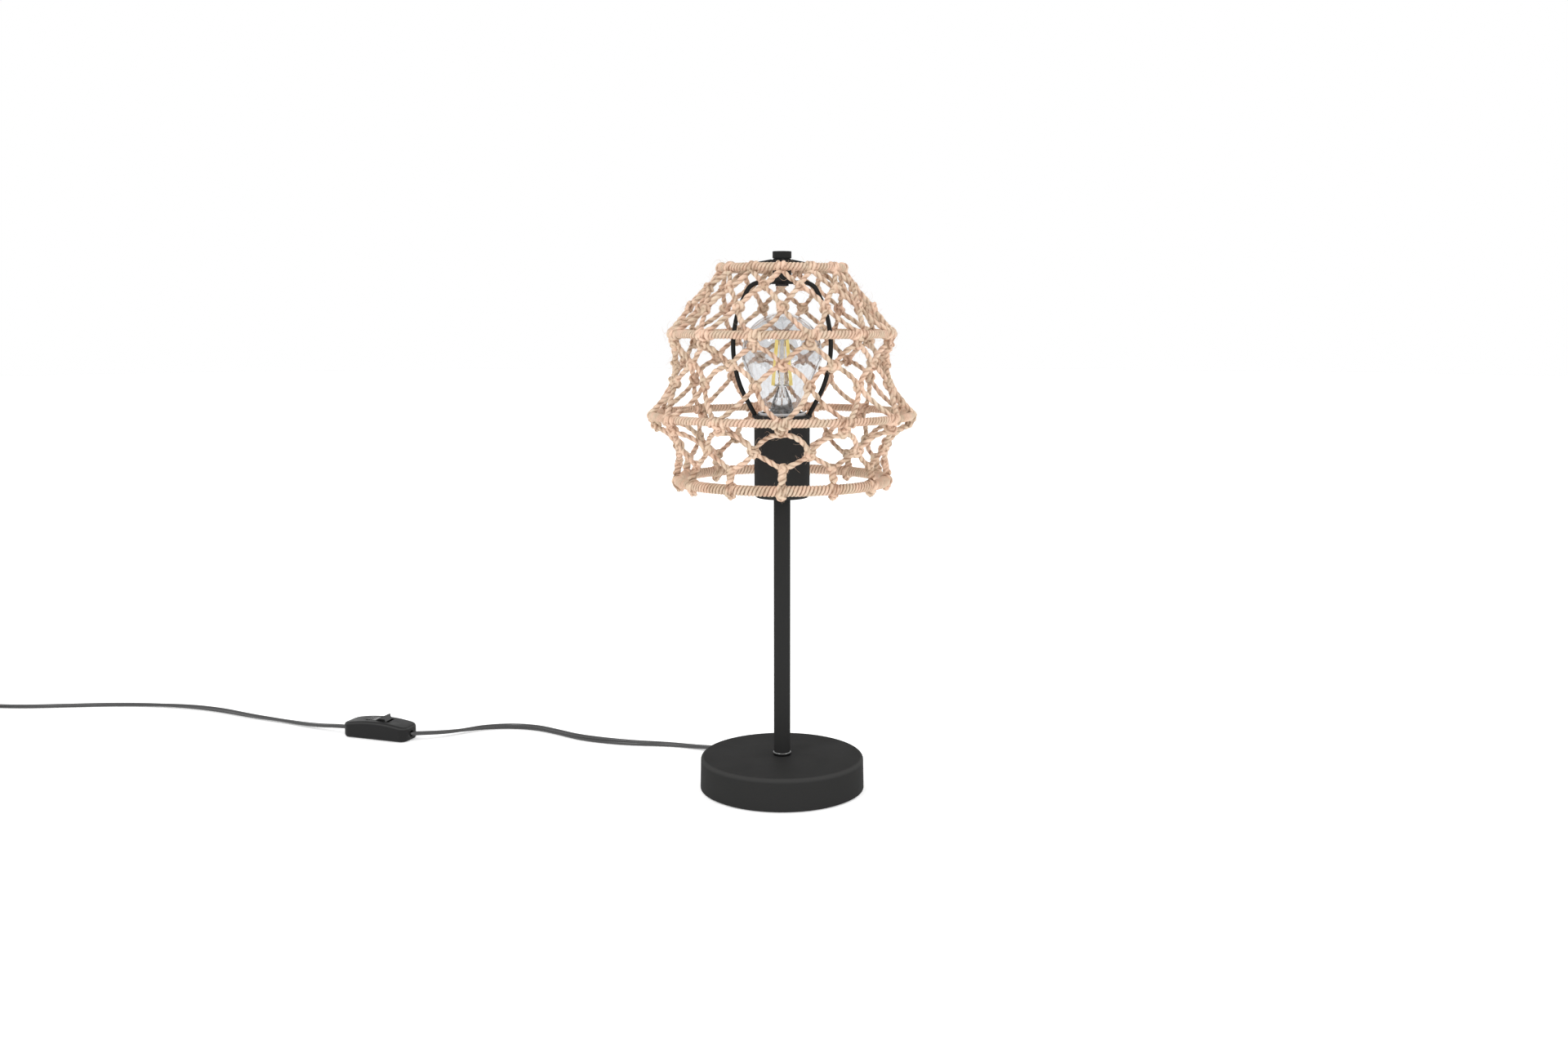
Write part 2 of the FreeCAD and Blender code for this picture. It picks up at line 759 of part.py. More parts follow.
# Knob that clamps the shade on the stud
def knob():
    body = disc(knob_radius, knob_bottom, knob_top)
    rim = [e for e in body.Edges if abs(e.CenterOfMass.z - knob_top) < knob_edge
           and abs(e.BoundBox.ZLength) < knob_edge]
    body = body.makeFillet(knob_edge, rim)
    hole = disc(stud_radius + running_clearance, knob_bottom - overrun, knob_bottom + knob_hole_depth)
    return body.cut(hole)


# Cord inside the base: gland, inner end, clamp and leads
def along_gland(distance, height=gland_height, aside=0):
    out = around(gland_azimuth)
    return out * distance + UP.cross(out) * aside + UP * height


def cord_gland():
    """Strain relief pressed into the side of the base."""
    out = around(gland_azimuth)
    inside = base_radius - base_wall - gland_flange_thickness - base_top_inset
    flange = rod(gland_flange_radius, along_gland(inside), along_gland(inside + gland_flange_thickness))
    neck = rod(gland_neck_radius, along_gland(inside), along_gland(base_radius))
    nose = Part.makeCone(gland_neck_radius, gland_tip_radius, gland_length, along_gland(base_radius), out)
    bore = rod(cord_radius + cord_fit, along_gland(inside - overrun), along_gland(gland_tip + overrun))
    return fused([flange, neck, nose]).cut(bore)


def cord_inner():
    """Sheathed end of the cord, through the gland and under its clamp."""
    return rod(cord_radius, along_gland(cord_inner_end), along_gland(gland_tip))


def clamp_hole(side, bottom, top, radius):
    """Upright cylinder at one of the clamp's two screws."""
    place = along_gland(clamp_distance, 0, side * clamp_screw_side)
    return disc(radius, bottom, top, place)


def cord_clamp():
    """Bridge over the cord, screwed to the weight beside the slot."""
    half = cord_slot_width / 2 - loose_clearance
    bar = Part.makeBox(
        clamp_length, clamp_bar_length, clamp_height,
        V(-clamp_length / 2, -clamp_bar_length / 2, weight_step))
    saddle = Part.makeBox(
        clamp_length, half * 2, gland_height + cord_radius - weight_step + clamp_height * 2,
        V(-clamp_length / 2, -half, weight_step - clamp_height))
    body = bar.fuse(saddle)
    body.translate(V(clamp_distance, 0, 0))
    body.rotate(V(0, 0, 0), UP, gland_azimuth)
    channel = rod(
        cord_radius + cord_fit,
        along_gland(clamp_distance - clamp_length), along_gland(clamp_distance + clamp_length))
    for side in (-1, 1):
        body = body.cut(clamp_hole(
            side, weight_step - overrun, clamp_top + overrun, clamp_screw_radius + running_clearance))
    return body.cut(channel)


def clamp_screws():
    screws = []
    for side in (-1, 1):
        shank = clamp_hole(side, clamp_top - clamp_screw_length, clamp_top, clamp_screw_radius)
        head = clamp_hole(side, clamp_top, clamp_top + clamp_screw_head_height, clamp_screw_head)
        screws.append(fused([shank, head]))
    return grouped(screws)


def inner_leads():
    """Two leads from the stripped end, up the conduit and into the insert."""
    leads = []
    for side in (-1, 1):
        aside = side * lead_offset
        start = along_gland(cord_inner_end, gland_height, aside)
        dip = along_gland(cord_inner_end - recess_radius / 2, lead_low, aside)
        turn = along_gland(0, lead_low, aside)
        top = along_gland(0, insert_bottom - terminal_screw_length / 2, aside)
        leads.append(route_tube([start, dip, turn, top], lead_radius, lead_radius * 4))
    return grouped(leads)


# Coil of the cord's spare length
def coil_radius_at(turns):
    """Radius after some turns: in at a steady rate, eased over half a turn, then out again."""
    if turns <= coil_in_turns:
        return coil_outer_radius - coil_pitch * turns
    if turns >= coil_in_turns + 0.5:
        return coil_outer_radius - coil_pitch * (coil_turns - turns)
    into = turns - coil_in_turns
    return coil_outer_radius - coil_pitch * coil_in_turns - coil_pitch * into * (1 - 2 * into)


def coil_height_at(turns):
    """The second layer lies one diameter and the gap above the first."""
    into = min(max((turns - coil_in_turns) * 2, 0.0), 1.0)
    return coil_start.z + coil_pitch * into * into * (3 - 2 * into)


def coil_point(turns):
    azimuth = QUARTER_TURN + FULL_TURN * turns
    return coil_centre + around(azimuth) * coil_radius_at(turns) + UP * coil_height_at(turns)


def coil_heading(turns):
    small = 1e-5
    before = coil_point(max(turns - small, 0.0))
    return (coil_point(min(turns + small, coil_turns)) - before).normalize()


def biarc(start, start_heading, end, end_heading):
    """Two tangent arcs from one point and heading to the next."""
    chord = end - start
    both = start_heading + end_heading
    spread = 2 * (1 - start_heading.dot(end_heading))
    across = chord.dot(both)
    reach = (math.sqrt(across ** 2 + spread * chord.dot(chord)) - across) / spread
    first = start + start_heading * reach
    second = end - end_heading * reach
    joint = (first + second) / 2
    return [arc_through(start, first, joint), arc_through(joint, second, end)]


def arc_through(start, corner, end):
    """Arc that touches both lines from a corner."""
    middle = (start + end) / 2
    rise = (corner - middle).Length
    half_chord = (end - start).Length / 2
    turn = math.atan2(rise, half_chord) * 2
    apex = middle + (corner - middle).normalize() * (half_chord * math.tan(turn / 4))
    return Part.Arc(start, apex, end).toShape()


def coil_wire():
    """The coil's centre line, straight for one diameter at both ends."""
    steps = int(round(coil_turns / coil_step_share))
    stations = [coil_turns * i / steps for i in range(steps + 1)]
    lead_in = coil_point(0) - coil_heading(0) * (cord_radius * 2)
    lead_out = coil_point(coil_turns) + coil_heading(coil_turns) * (cord_radius * 2)
    edges = [Part.LineSegment(lead_in, coil_point(0)).toShape()]
    for a, b in zip(stations, stations[1:]):
        edges += biarc(coil_point(a), coil_heading(a), coil_point(b), coil_heading(b))
    edges.append(Part.LineSegment(coil_point(coil_turns), lead_out).toShape())
    return Part.Wire(edges), lead_in, lead_out


def report_coil_gap(wire):
    """Least distance between turns, measured on points of the centre line."""
    count = int(coil_turns * gap_samples)
    points = wire.discretize(Number=count)
    least = min(
        (points[i] - points[j]).Length
        for i in range(count) for j in range(i + gap_samples // 2, count))
    print("coil length %.1f least gap %.2f" % (wire.Length, least - cord_radius * 2))


def cord_coil():
    wire, lead_in, lead_out = coil_wire()
    report_coil_gap(wire)
    tube = swept(wire, cord_radius, coil_point(0) - lead_in)
    print("coil volume ratio %.4f" % (tube.Volume / (math.pi * cord_radius ** 2 * wire.Length)))
    return tube, lead_in, lead_out


def coil_tie():
    """Flat band round the bundle of turns."""
    inner = coil_radius_at(coil_in_turns + 0.25) - cord_radius - tie_gap
    outer = coil_outer_radius + cord_radius + tie_gap
    bottom = coil_start.z - cord_radius - tie_gap
    top = coil_start.z + coil_pitch + cord_radius + tie_gap
    hole = Part.makeBox(
        outer - inner, tie_width + overrun * 2, top - bottom,
        V(inner, -tie_width / 2 - overrun, bottom))
    band = Part.makeBox(
        outer - inner + tie_thickness * 2, tie_width, top - bottom + tie_thickness * 2,
        V(inner - tie_thickness, -tie_width / 2, bottom - tie_thickness))
    band = band.cut(hole)
    band.rotate(V(0, 0, 0), UP, tie_azimuth)
    band.translate(coil_centre)
    return band


# Inline switch, drawn along X about the origin and then put in its place
def switch_place(shape):
    shape.rotate(V(0, 0, 0), UP, switch_heading)
    shape.translate(switch_centre)
    return shape


def switch_blank(inset):
    """Crowned body with rounded corners, smaller all round by an inset."""
    half_length = switch_length / 2 - inset
    half_width = switch_width / 2 - inset
    corner = switch_corner - inset
    ends = switch_end_height - inset
    crown = switch_height - inset
    side = Part.Wire([
        Part.LineSegment(V(-half_length, 0, inset), V(half_length, 0, inset)).toShape(),
        Part.LineSegment(V(half_length, 0, inset), V(half_length, 0, ends)).toShape(),
        Part.Arc(V(half_length, 0, ends), V(0, 0, crown), V(-half_length, 0, ends)).toShape(),
        Part.LineSegment(V(-half_length, 0, ends), V(-half_length, 0, inset)).toShape(),
    ])
    body = Part.Face(side).extrude(V(0, half_width * 2, 0))
    body.translate(V(0, -half_width, 0))
    uprights = [e for e in body.Edges
                if abs(e.Vertexes[0].X - e.Vertexes[-1].X) < inset / 2 + edge_tolerance
                and abs(e.Vertexes[0].Y - e.Vertexes[-1].Y) < edge_tolerance]
    return body.makeFillet(corner, uprights)


def switch_body():
    """Whole outer form with softened top and bottom edges."""
    body = switch_blank(0)
    crown = switch_height - switch_end_height
    soft = [e for e in body.Edges if e.BoundBox.ZLength < crown + edge_tolerance
            and (e.CenterOfMass.z > switch_split or e.CenterOfMass.z < edge_tolerance)]
    return body.makeFillet(switch_edge, soft)


def switch_half(upper):
    """Body above or below the parting plane."""
    room = switch_length
    low = switch_split if upper else -room
    high = room if upper else switch_split
    slab = Part.makeBox(room * 2, room * 2, high - low, V(-room, -room, low))
    shell = switch_body().cut(switch_blank(switch_wall))
    return shell.common(slab)


def cord_mouths():
    """Round openings for the cord at both ends of the switch."""
    half = switch_length / 2
    height = UP * switch_cord_height
    along = V(1, 0, 0)
    return rod(
        cord_radius + cord_fit,
        along * -(half + overrun) + height, along * (half + overrun) + height)


def window_half_length():
    """Half the opening that the swinging rocker needs at the top of the body."""
    rise = rocker_length / 2 * math.tan(math.radians(rocker_tilt))
    corner_rise = rocker_dip_height + rise - rocker_pivot_height
    swing = math.hypot(rocker_length / 2, corner_rise)
    level = switch_height - rocker_pivot_height - switch_wall
    return math.sqrt(swing ** 2 - level ** 2) + rocker_window_gap


def switch_top():
    half_window = window_half_length()
    window = Part.makeBox(
        half_window * 2, rocker_width + rocker_gap * 2, switch_height,
        V(-half_window, -rocker_width / 2 - rocker_gap, switch_split))
    return switch_place(switch_half(True).cut(window).cut(cord_mouths()))


def screw_places():
    x = switch_length * switch_screw_place_share
    return [V(sx * x, sx * switch_screw_side, 0) for sx in (-1, 1)]


def switch_bottom():
    """Lower half with two ears that carry the rocker's pin."""
    body = switch_half(False).cut(cord_mouths())
    ear_top = rocker_pivot_height + rocker_pin_radius * 2
    for side in (-1, 1):
        y = side * (rocker_width / 2 + rocker_gap + ear_thickness / 2)
        ear = Part.makeBox(
            ear_width, ear_thickness, ear_top - switch_wall,
            V(-ear_width / 2, y - ear_thickness / 2, switch_wall))
        body = body.fuse(ear)
    pin_hole = rod(
        rocker_pin_radius + running_clearance,
        V(0, -rocker_width, rocker_pivot_height), V(0, rocker_width, rocker_pivot_height))
    body = body.cut(pin_hole)
    for place in screw_places():
        shank_radius = switch_screw_radius + running_clearance
        head_radius = switch_screw_head + running_clearance
        body = body.cut(disc(shank_radius, -overrun, switch_split, place))
        body = body.cut(disc(head_radius, -overrun, switch_screw_head_height, place))
    return switch_place(body)


def switch_screws():
    screws = []
    for place in screw_places():
        head = disc(switch_screw_head, running_clearance, switch_screw_head_height, place)
        shank = disc(switch_screw_radius, switch_screw_head_height, switch_screw_length, place)
        screws.append(fused([head, shank]))
    return switch_place(grouped(screws))


def switch_terminals():
    """Two brass blocks under the rocker's ends."""
    blocks = []
    for side in (-1, 1):
        x = side * switch_length * terminal_place_share
        blocks.append(Part.makeBox(
            terminal_length, terminal_width, terminal_height,
            V(x - terminal_length / 2, -terminal_width / 2, switch_wall)))
    return switch_place(grouped(blocks))


def rocker_upright():
    """Rocker with a shallow V on top, level, pivot on the origin's X."""
    half = rocker_length / 2
    rise = half * math.tan(math.radians(rocker_tilt))
    lower_half = half * rocker_foot_share
    points = [
        V(-lower_half, 0, rocker_bottom_height), V(lower_half, 0, rocker_bottom_height),
        V(half, 0, rocker_pivot_height + rocker_pin_radius),
        V(half, 0, rocker_dip_height + rise), V(0, 0, rocker_dip_height),
        V(-half, 0, rocker_dip_height + rise),
        V(-half, 0, rocker_pivot_height + rocker_pin_radius),
    ]
    body = Part.Face(Part.makePolygon(points + [points[0]])).extrude(V(0, rocker_width, 0))
    body.translate(V(0, -rocker_width / 2, 0))
    for i in range(rib_count):
        for side in (-1, 1):
            x = side * (half - rib_pitch * (i + 0.5))
            z = rocker_dip_height + abs(x) * math.tan(math.radians(rocker_tilt))
            groove = Part.makeBox(
                rib_width, rocker_width, rib_depth * 2,
                V(x - rib_width / 2, -rocker_width / 2, z - rib_depth))
            body = body.cut(groove)
    return body


def rocker_bore():
    return rod(
        rocker_pin_radius,
        V(0, -rocker_width, rocker_pivot_height), V(0, rocker_width, rocker_pivot_height))


def rocker_set(shape):
    """Tip the rocker so that its right end stands up, and put it in its place."""
    shape.rotate(V(0, 0, rocker_pivot_height), V(0, 1, 0), -rocker_tilt)
    return switch_place(shape)


def rocker():
    return rocker_set(rocker_upright().cut(rocker_bore()))


def rocker_pin():
    half = rocker_pin_length / 2
    return switch_place(rod(
        rocker_pin_radius, V(0, -half, rocker_pivot_height), V(0, half, rocker_pivot_height)))


# Tail of the cord and the plug, which lies flat on the table
def tail_points(start, heading):
    """From the coil's end down to the plug's neck."""
    aside = UP.cross(heading)
    drop = start.z - plug_height / 2
    first = start + heading * tail_run
    second = first + heading * tail_run + aside * (tail_run * tail_turn_share) - UP * drop
    last = second + heading * tail_run + aside * (tail_run * tail_turn_share * 3)
    return [start, first, second, last]


def plug_frame(points):
    """Place and heading of the plug's neck, in plan."""
    end = points[-1]
    heading = end - points[-2]
    azimuth = math.degrees(math.atan2(heading.y, heading.x))
    return end, azimuth


def plug_put(shape, points):
    end, azimuth = plug_frame(points)
    shape.rotate(V(0, 0, 0), UP, azimuth)
    shape.translate(V(end.x, end.y, 0))
    return shape


def plug_body(points):
    """Flat moulded plug with a tapering back and a short neck."""
    back = plug_back_width / 2
    front = plug_width / 2
    start = plug_neck_length
    shoulder = start + plug_length * plug_shoulder_share
    end = start + plug_length
    outline = [
        V(start, -back, 0), V(shoulder, -front, 0), V(end, -front, 0),
        V(end, front, 0), V(shoulder, front, 0), V(start, back, 0),
    ]
    body = Part.Face(Part.makePolygon(outline + [outline[0]])).extrude(UP * plug_height)
    body = body.makeFillet(plug_edge, body.Edges)
    neck = rod(plug_neck_radius, V(0, 0, plug_height / 2), V(start + plug_edge, 0, plug_height / 2))
    body = body.fuse(neck)
    for side in (-1, 1):
        y = side * pin_spacing / 2
        body = body.cut(rod(
            pin_root_radius, V(end - pin_root, y, plug_height / 2), V(end + overrun, y, plug_height / 2)))
    return plug_put(body, points)


def plug_pins(points):
    end = plug_neck_length + plug_length
    pins = []
    for side in (-1, 1):
        y = side * pin_spacing / 2
        root = rod(pin_root_radius, V(end - pin_root, y, plug_height / 2), V(end, y, plug_height / 2))
        shaft = rod(pin_radius, V(end, y, plug_height / 2), V(end + pin_length, y, plug_height / 2))
        tips = [e for e in shaft.Edges if e.CenterOfMass.x > end + pin_length - pin_radius
                and e.BoundBox.XLength < pin_radius / 2]
        pins.append(fused([root, shaft.makeChamfer(pin_radius * pin_tip_share, tips)]))
    return plug_put(grouped(pins), points)


def build():
    os.makedirs("parts", exist_ok=True)

    save("base_cover", base_cover())
    save("base_weight", base_weight())
    save("base_pad", base_pad())
    save("base_washer", base_washer())
    save("base_nut", pipe_nut(nut_bottom))
    save("stem_foot_ring", stem_foot_ring())
    save("stem_tube", stem_tube())
    save("threaded_conduit", threaded_conduit())

    save("holder_cup", holder_cup())
    save("cup_nut", pipe_nut(cup_nut_bottom))
    save("holder_cap", holder_cap())
    save("holder_insert", holder_insert())
    save("terminal_screws", terminal_screws())
    save("centre_contact", centre_contact())
    save("holder_sleeve", holder_sleeve())
    save("screw_shell", screw_shell())

    save("bulb_cap", bulb_cap())
    save("bulb_insulator", bulb_insulator())
    save("bulb_eyelet", bulb_eyelet())
    save("bulb_glass", bulb_glass())
    save("glass_stem", glass_stem())
    save("filaments", filaments())
    save("filament_supports", filament_supports())

    save("harp_saddle", harp_saddle())
    save("saddle_ring_nut", saddle_ring_nut())
    save("harp", harp())
    save("harp_stud", harp_stud())
    save("top_spacer", top_spacer())

    save("shade_washer", stud_washer(spacer_top + body_gap))
    save("shade_spider", shade_spider())
    save("hoop_wires", hoop_wires())
    for index in range(len(hoops)):
        save("hoop_wrap_%d" % (index + 1), hoop_wrap(index))
    save("net_upper", net_band(0, upper_knot_shares))
    save("net_middle", net_band(1, middle_knot_shares))
    save("net_lower", net_band(2, lower_knot_shares))
    save("knob_washer", stud_washer(knob_washer_bottom))
    save("knob", knob())

    save("cord_gland", cord_gland())
    save("cord_inner", cord_inner())
    save("cord_clamp", cord_clamp())
    save("clamp_screws", clamp_screws())
    save("inner_leads", inner_leads())

    lamp_points = [along_gland(gland_tip)] + [V(*p) for p in lamp_route]
    save("cord_lamp_side", report_route("lamp side", lamp_points, cord_radius))
    coil, lead_in, lead_out = cord_coil()
    plug_points = [V(*p) for p in plug_route[:-1]] + [lead_in]
    save("cord_plug_side", report_route("plug side", plug_points, cord_radius))
    save("cord_coil", coil)
    save("coil_tie", coil_tie())
    tail = tail_points(lead_out, coil_heading(coil_turns))
    save("cord_tail", report_route("tail", tail, cord_radius))

    save("switch_top", switch_top())
    save("switch_bottom", switch_bottom())
    save("switch_screws", switch_screws())
    save("switch_terminals", switch_terminals())
    save("rocker", rocker())
    save("rocker_pin", rocker_pin())

    save("plug_body", plug_body(tail))
    save("plug_pins", plug_pins(tail))


build()
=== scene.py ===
import math
import random

import bmesh
import bpy
from mathutils import Euler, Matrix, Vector


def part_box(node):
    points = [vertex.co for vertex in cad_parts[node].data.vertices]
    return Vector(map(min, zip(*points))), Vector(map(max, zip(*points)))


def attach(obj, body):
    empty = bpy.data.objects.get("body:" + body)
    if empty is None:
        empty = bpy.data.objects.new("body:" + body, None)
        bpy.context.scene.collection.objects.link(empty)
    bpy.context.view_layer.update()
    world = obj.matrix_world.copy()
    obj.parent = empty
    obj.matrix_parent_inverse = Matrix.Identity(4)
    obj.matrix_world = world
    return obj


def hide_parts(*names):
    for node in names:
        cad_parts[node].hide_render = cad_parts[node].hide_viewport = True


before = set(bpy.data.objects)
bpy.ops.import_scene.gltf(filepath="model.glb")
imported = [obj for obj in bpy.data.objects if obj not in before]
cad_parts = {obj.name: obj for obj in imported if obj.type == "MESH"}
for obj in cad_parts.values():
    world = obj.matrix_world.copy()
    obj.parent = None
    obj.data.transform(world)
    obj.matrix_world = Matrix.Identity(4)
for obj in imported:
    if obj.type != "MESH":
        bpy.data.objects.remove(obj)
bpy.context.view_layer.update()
scene = bpy.context.scene


# Camera and setting.
# The lamp is seen from a little above, from the front, on a plain pale table in soft studio light.
# The camera was fitted to the hoops, base and stem of the photograph.
camera_height = 0.3644
camera_distance = 1.1212
camera_aside = 0.0015
camera_pitch = 7.95
lens = 34.17
lit_point = Vector((0.0, 0.0, 0.2))

camera_data = bpy.data.cameras.new("camera")
camera_data.lens = lens
camera_data.sensor_width = 36.0
camera = bpy.data.objects.new("camera", camera_data)
camera.location = (camera_aside, -camera_distance, camera_height)
camera.rotation_euler = (math.radians(90.0 - camera_pitch), 0.0, 0.0)
scene.collection.objects.link(camera)
scene.camera = camera
scene.view_settings.view_transform = "Standard"


def add(tree, kind, inputs=None, **settings):
    """One node in a tree. inputs names its sockets, each with a value or another node's output."""
    made = tree.nodes.new(kind)
    for name, value in settings.items():
        setattr(made, name, value)
    for socket, value in (inputs or {}).items():
        if isinstance(value, bpy.types.NodeSocket):
            tree.links.new(value, made.inputs[socket])
        else:
            made.inputs[socket].default_value = value
    return made


def noise(tree, place, scale, detail, **more):
    """Grey noise at a place."""
    return add(tree, "ShaderNodeTexNoise", {
        "Vector": place, "Scale": scale, "Detail": detail, **more}).outputs[0]


def driven(tree, shader, **sockets):
    """Links outputs to a shader's sockets."""
    for socket, output in sockets.items():
        tree.links.new(output, shader.inputs[socket.replace("_", " ")])


def bumped(tree, shader, strength, distance, height):
    """Gives a material its fine relief."""
    bump = add(tree, "ShaderNodeBump", {"Strength": strength, "Distance": distance, "Height": height})
    driven(tree, shader, Normal=bump.outputs[0])


def coated(name, colour, roughness, **sockets):
    """Material with plain values. Returns it, its tree, its Principled shader and the piece's own place."""
    material = bpy.data.materials.new(name)
    material.use_nodes = True
    tree = material.node_tree
    shader = tree.nodes["Principled BSDF"]
    shader.inputs["Base Color"].default_value = (*colour, 1.0)
    shader.inputs["Roughness"].default_value = roughness
    for socket, value in sockets.items():
        shader.inputs[socket.replace("_", " ")].default_value = value
    place = add(tree, "ShaderNodeTexCoord").outputs["Object"]
    return material, tree, shader, place


def new_object(name, mesh):
    made = bpy.data.objects.new(name, mesh)
    scene.collection.objects.link(made)
    return made


def table_and_light():
    """Pale round table top, and the studio's lights."""
    reach = 9.0
    sides = 64
    rim = [(math.cos(i * math.tau / sides) * reach, math.sin(i * math.tau / sides) * reach, 0.0)
           for i in range(sides)]
    mesh = bpy.data.meshes.new("table")
    mesh.from_pydata(rim, [], [list(range(sides))])
    table = new_object("table", mesh)
    pale, tree, shader, place = coated(
        "pale_table", (0.93, 0.93, 0.93), 0.75, Emission_Strength=0.35, Emission_Color=(1.0, 1.0, 1.0, 1.0))
    bumped(tree, shader, 0.02, 0.0005, noise(tree, place, 900.0, 3.0))
    mesh.materials.append(pale)
    world = bpy.data.worlds.new("studio")
    world.use_nodes = True
    background = world.node_tree.nodes["Background"].inputs
    background["Color"].default_value = (1.0, 1.0, 1.0, 1.0)
    background["Strength"].default_value = 1.0
    scene.world = world
    for name, spot, size, power in (
            ("key", (-1.1, -1.3, 1.7), 0.5, 8.0),
            ("fill", (1.5, -0.9, 1.1), 0.6, 4.0),
            ("back", (0.3, 1.6, 1.5), 1.6, 1.5)):
        light = bpy.data.lights.new(name, "AREA")
        light.energy = power
        light.size = size
        lamp = bpy.data.objects.new(name, light)
        lamp.location = spot
        lamp.rotation_euler = (lit_point - lamp.location).to_track_quat("-Z", "Y").to_euler()
        scene.collection.objects.link(lamp)


table_and_light()


# Cord.
# A flat twin lead in a satin black sheath, two round cores side by side, moulded in one length.
# It leaves the back left of the base and runs through the inline switch.
# Its spare length is coiled out of view.
cord_width = 0.0054
cord_thickness = 0.0030
lobe_radius = cord_thickness / 2
lobe_offset = cord_width / 2 - lobe_radius
cord_exit = (-0.03625, 0.06279, 0.0090)
# x, y, z in metres and the turn of the flat section in degrees
route = [
    (*cord_exit, 0), (-0.0460, 0.0797, 0.0072, 0), (-0.0585, 0.0930, 0.0036, 0),
    (-0.0750, 0.1025, 0.0018, 0), (-0.0980, 0.1095, 0.0018, 8), (-0.1260, 0.1110, 0.0023, 30),
    (-0.1520, 0.1170, 0.0027, 62), (-0.1760, 0.1270, 0.0028, 88), (-0.1960, 0.1430, 0.0028, 104),
    (-0.2160, 0.1570, 0.0028, 100), (-0.2400, 0.1630, 0.0027, 110), (-0.2640, 0.1595, 0.0026, 130),
    (-0.2800, 0.1485, 0.0030, 162), (-0.2945, 0.1375, 0.0042, 180), (-0.3090, 0.1298, 0.0056, 180),
    (-0.3235, 0.1269, 0.0060, 180), (-0.3765, 0.1470, 0.0060, 180), (-0.3920, 0.1526, 0.0056, 180),
    (-0.4080, 0.1600, 0.0038, 180), (-0.4280, 0.1715, 0.0022, 176), (-0.4540, 0.1846, 0.0022, 160),
    (-0.4840, 0.1975, 0.0025, 140), (-0.5140, 0.2145, 0.0027, 118), (-0.5480, 0.2295, 0.0025, 142),
    (-0.5880, 0.2385, 0.0019, 170), (-0.6300, 0.2405, 0.0016, 180), (-0.6720, 0.2360, 0.0016, 180),
    (-0.7120, 0.2325, 0.0016, 180), (-0.7420, 0.2357, 0.0016, 180),
]
coil_turns = 5.25
coil_mean_radius = 0.0286
coil_pitch = 0.0060
layer_height = 0.0033
coil_rest = 0.0004            # the thickness of the tie under it
stations_per_turn = 16
coil_in_turns = (coil_turns - 0.5) / 2
coil_outer_radius = coil_mean_radius + coil_pitch * coil_in_turns / 2
coil_centre = Vector((-0.7700, 0.2350 - coil_outer_radius, 0.0))
plug_neck = Vector((-0.79132, 0.11546, 0.00685))
plug_heading = Vector((0.408, -0.913, 0.0))
tail_sag = 0.0026
UP = Vector((0.0, 0.0, 1.0))


def coil_stations():
    """Control points of the coil: in on the table, and out again on top of the first turns."""
    swell = 1.0 / math.cos(math.pi / stations_per_turn)
    for step in range(int(coil_turns * stations_per_turn) + 1):
        turns = step / stations_per_turn
        into = min(max((turns - coil_in_turns) * 2, 0.0), 1.0)
        if turns <= coil_in_turns:
            radius = coil_outer_radius - coil_pitch * turns
        elif turns >= coil_in_turns + 0.5:
            radius = coil_outer_radius - coil_pitch * (coil_turns - turns)
        else:
            radius = coil_outer_radius - coil_pitch * (coil_in_turns + (turns - coil_in_turns) * (1 - into))
        angle = math.radians(90.0) + math.tau * turns
        lift = layer_height * into * into * (3 - 2 * into)
        place = coil_centre + Vector((math.cos(angle), math.sin(angle), 0.0)) * (radius * swell)
        yield (place.x, place.y, cord_thickness / 2 + coil_rest + lift, 180)


def tail_stations(start):
    """Control points from the coil's end, down beside it and up to the neck of the plug."""
    before = plug_neck - plug_heading * 0.022
    end = plug_neck + plug_heading * 0.0002
    return [
        (start.x, start.y - 0.022, start.z - 0.0002, 180),
        (start.x + 0.0010, start.y - 0.043, tail_sag, 180),
        (before.x, before.y, 0.0057, 180),
        (end.x, end.y, end.z, 180),
    ]


def cord_line():
    """Points read from the cord's own NURBS spline, and the turn of the flat section at each."""
    stations = route + list(coil_stations())
    end = Vector(stations[-1][:3])
    stations += tail_stations(end)
    curve = bpy.data.curves.new("cord_route", "CURVE")
    curve.dimensions = "3D"
    curve.resolution_u = 6
    spline = curve.splines.new("NURBS")
    spline.points.add(len(stations) - 1)
    for point, (x, y, z, turn) in zip(spline.points, stations):
        point.co = (x, y, z, 1.0)
    spline.order_u = 3
    spline.use_endpoint_u = True
    guide = new_object("cord_route", curve)
    line = bpy.data.meshes.new_from_object(guide.evaluated_get(bpy.context.evaluated_depsgraph_get()))
    points = [v.co.copy() for v in line.vertices]
    bpy.data.objects.remove(guide)
    bpy.data.meshes.remove(line)
    places = [Vector(s[:3]) for s in stations]
    turns = []
    nearest = 0
    for point in points:
        while nearest < len(places) - 2 and (
                (places[nearest + 1] - point).length < (places[nearest] - point).length):
            nearest += 1
        first = max(nearest - 1, 0)
        best = min(range(first, nearest + 1), key=lambda i: (
            (places[i] - point).length + (places[i + 1] - point).length - (places[i + 1] - places[i]).length))
        a, b = places[best], places[best + 1]
        share = min(max((point - a).dot(b - a) / (b - a).length_squared, 0.0), 1.0)
        turns.append(stations[best][3] + (stations[best + 1][3] - stations[best][3]) * share)
    for _ in range(6):
        turns = [turns[0]] + [(a + b + c) / 3 for a, b, c in zip(turns, turns[1:], turns[2:])] + [turns[-1]]
    return points, turns


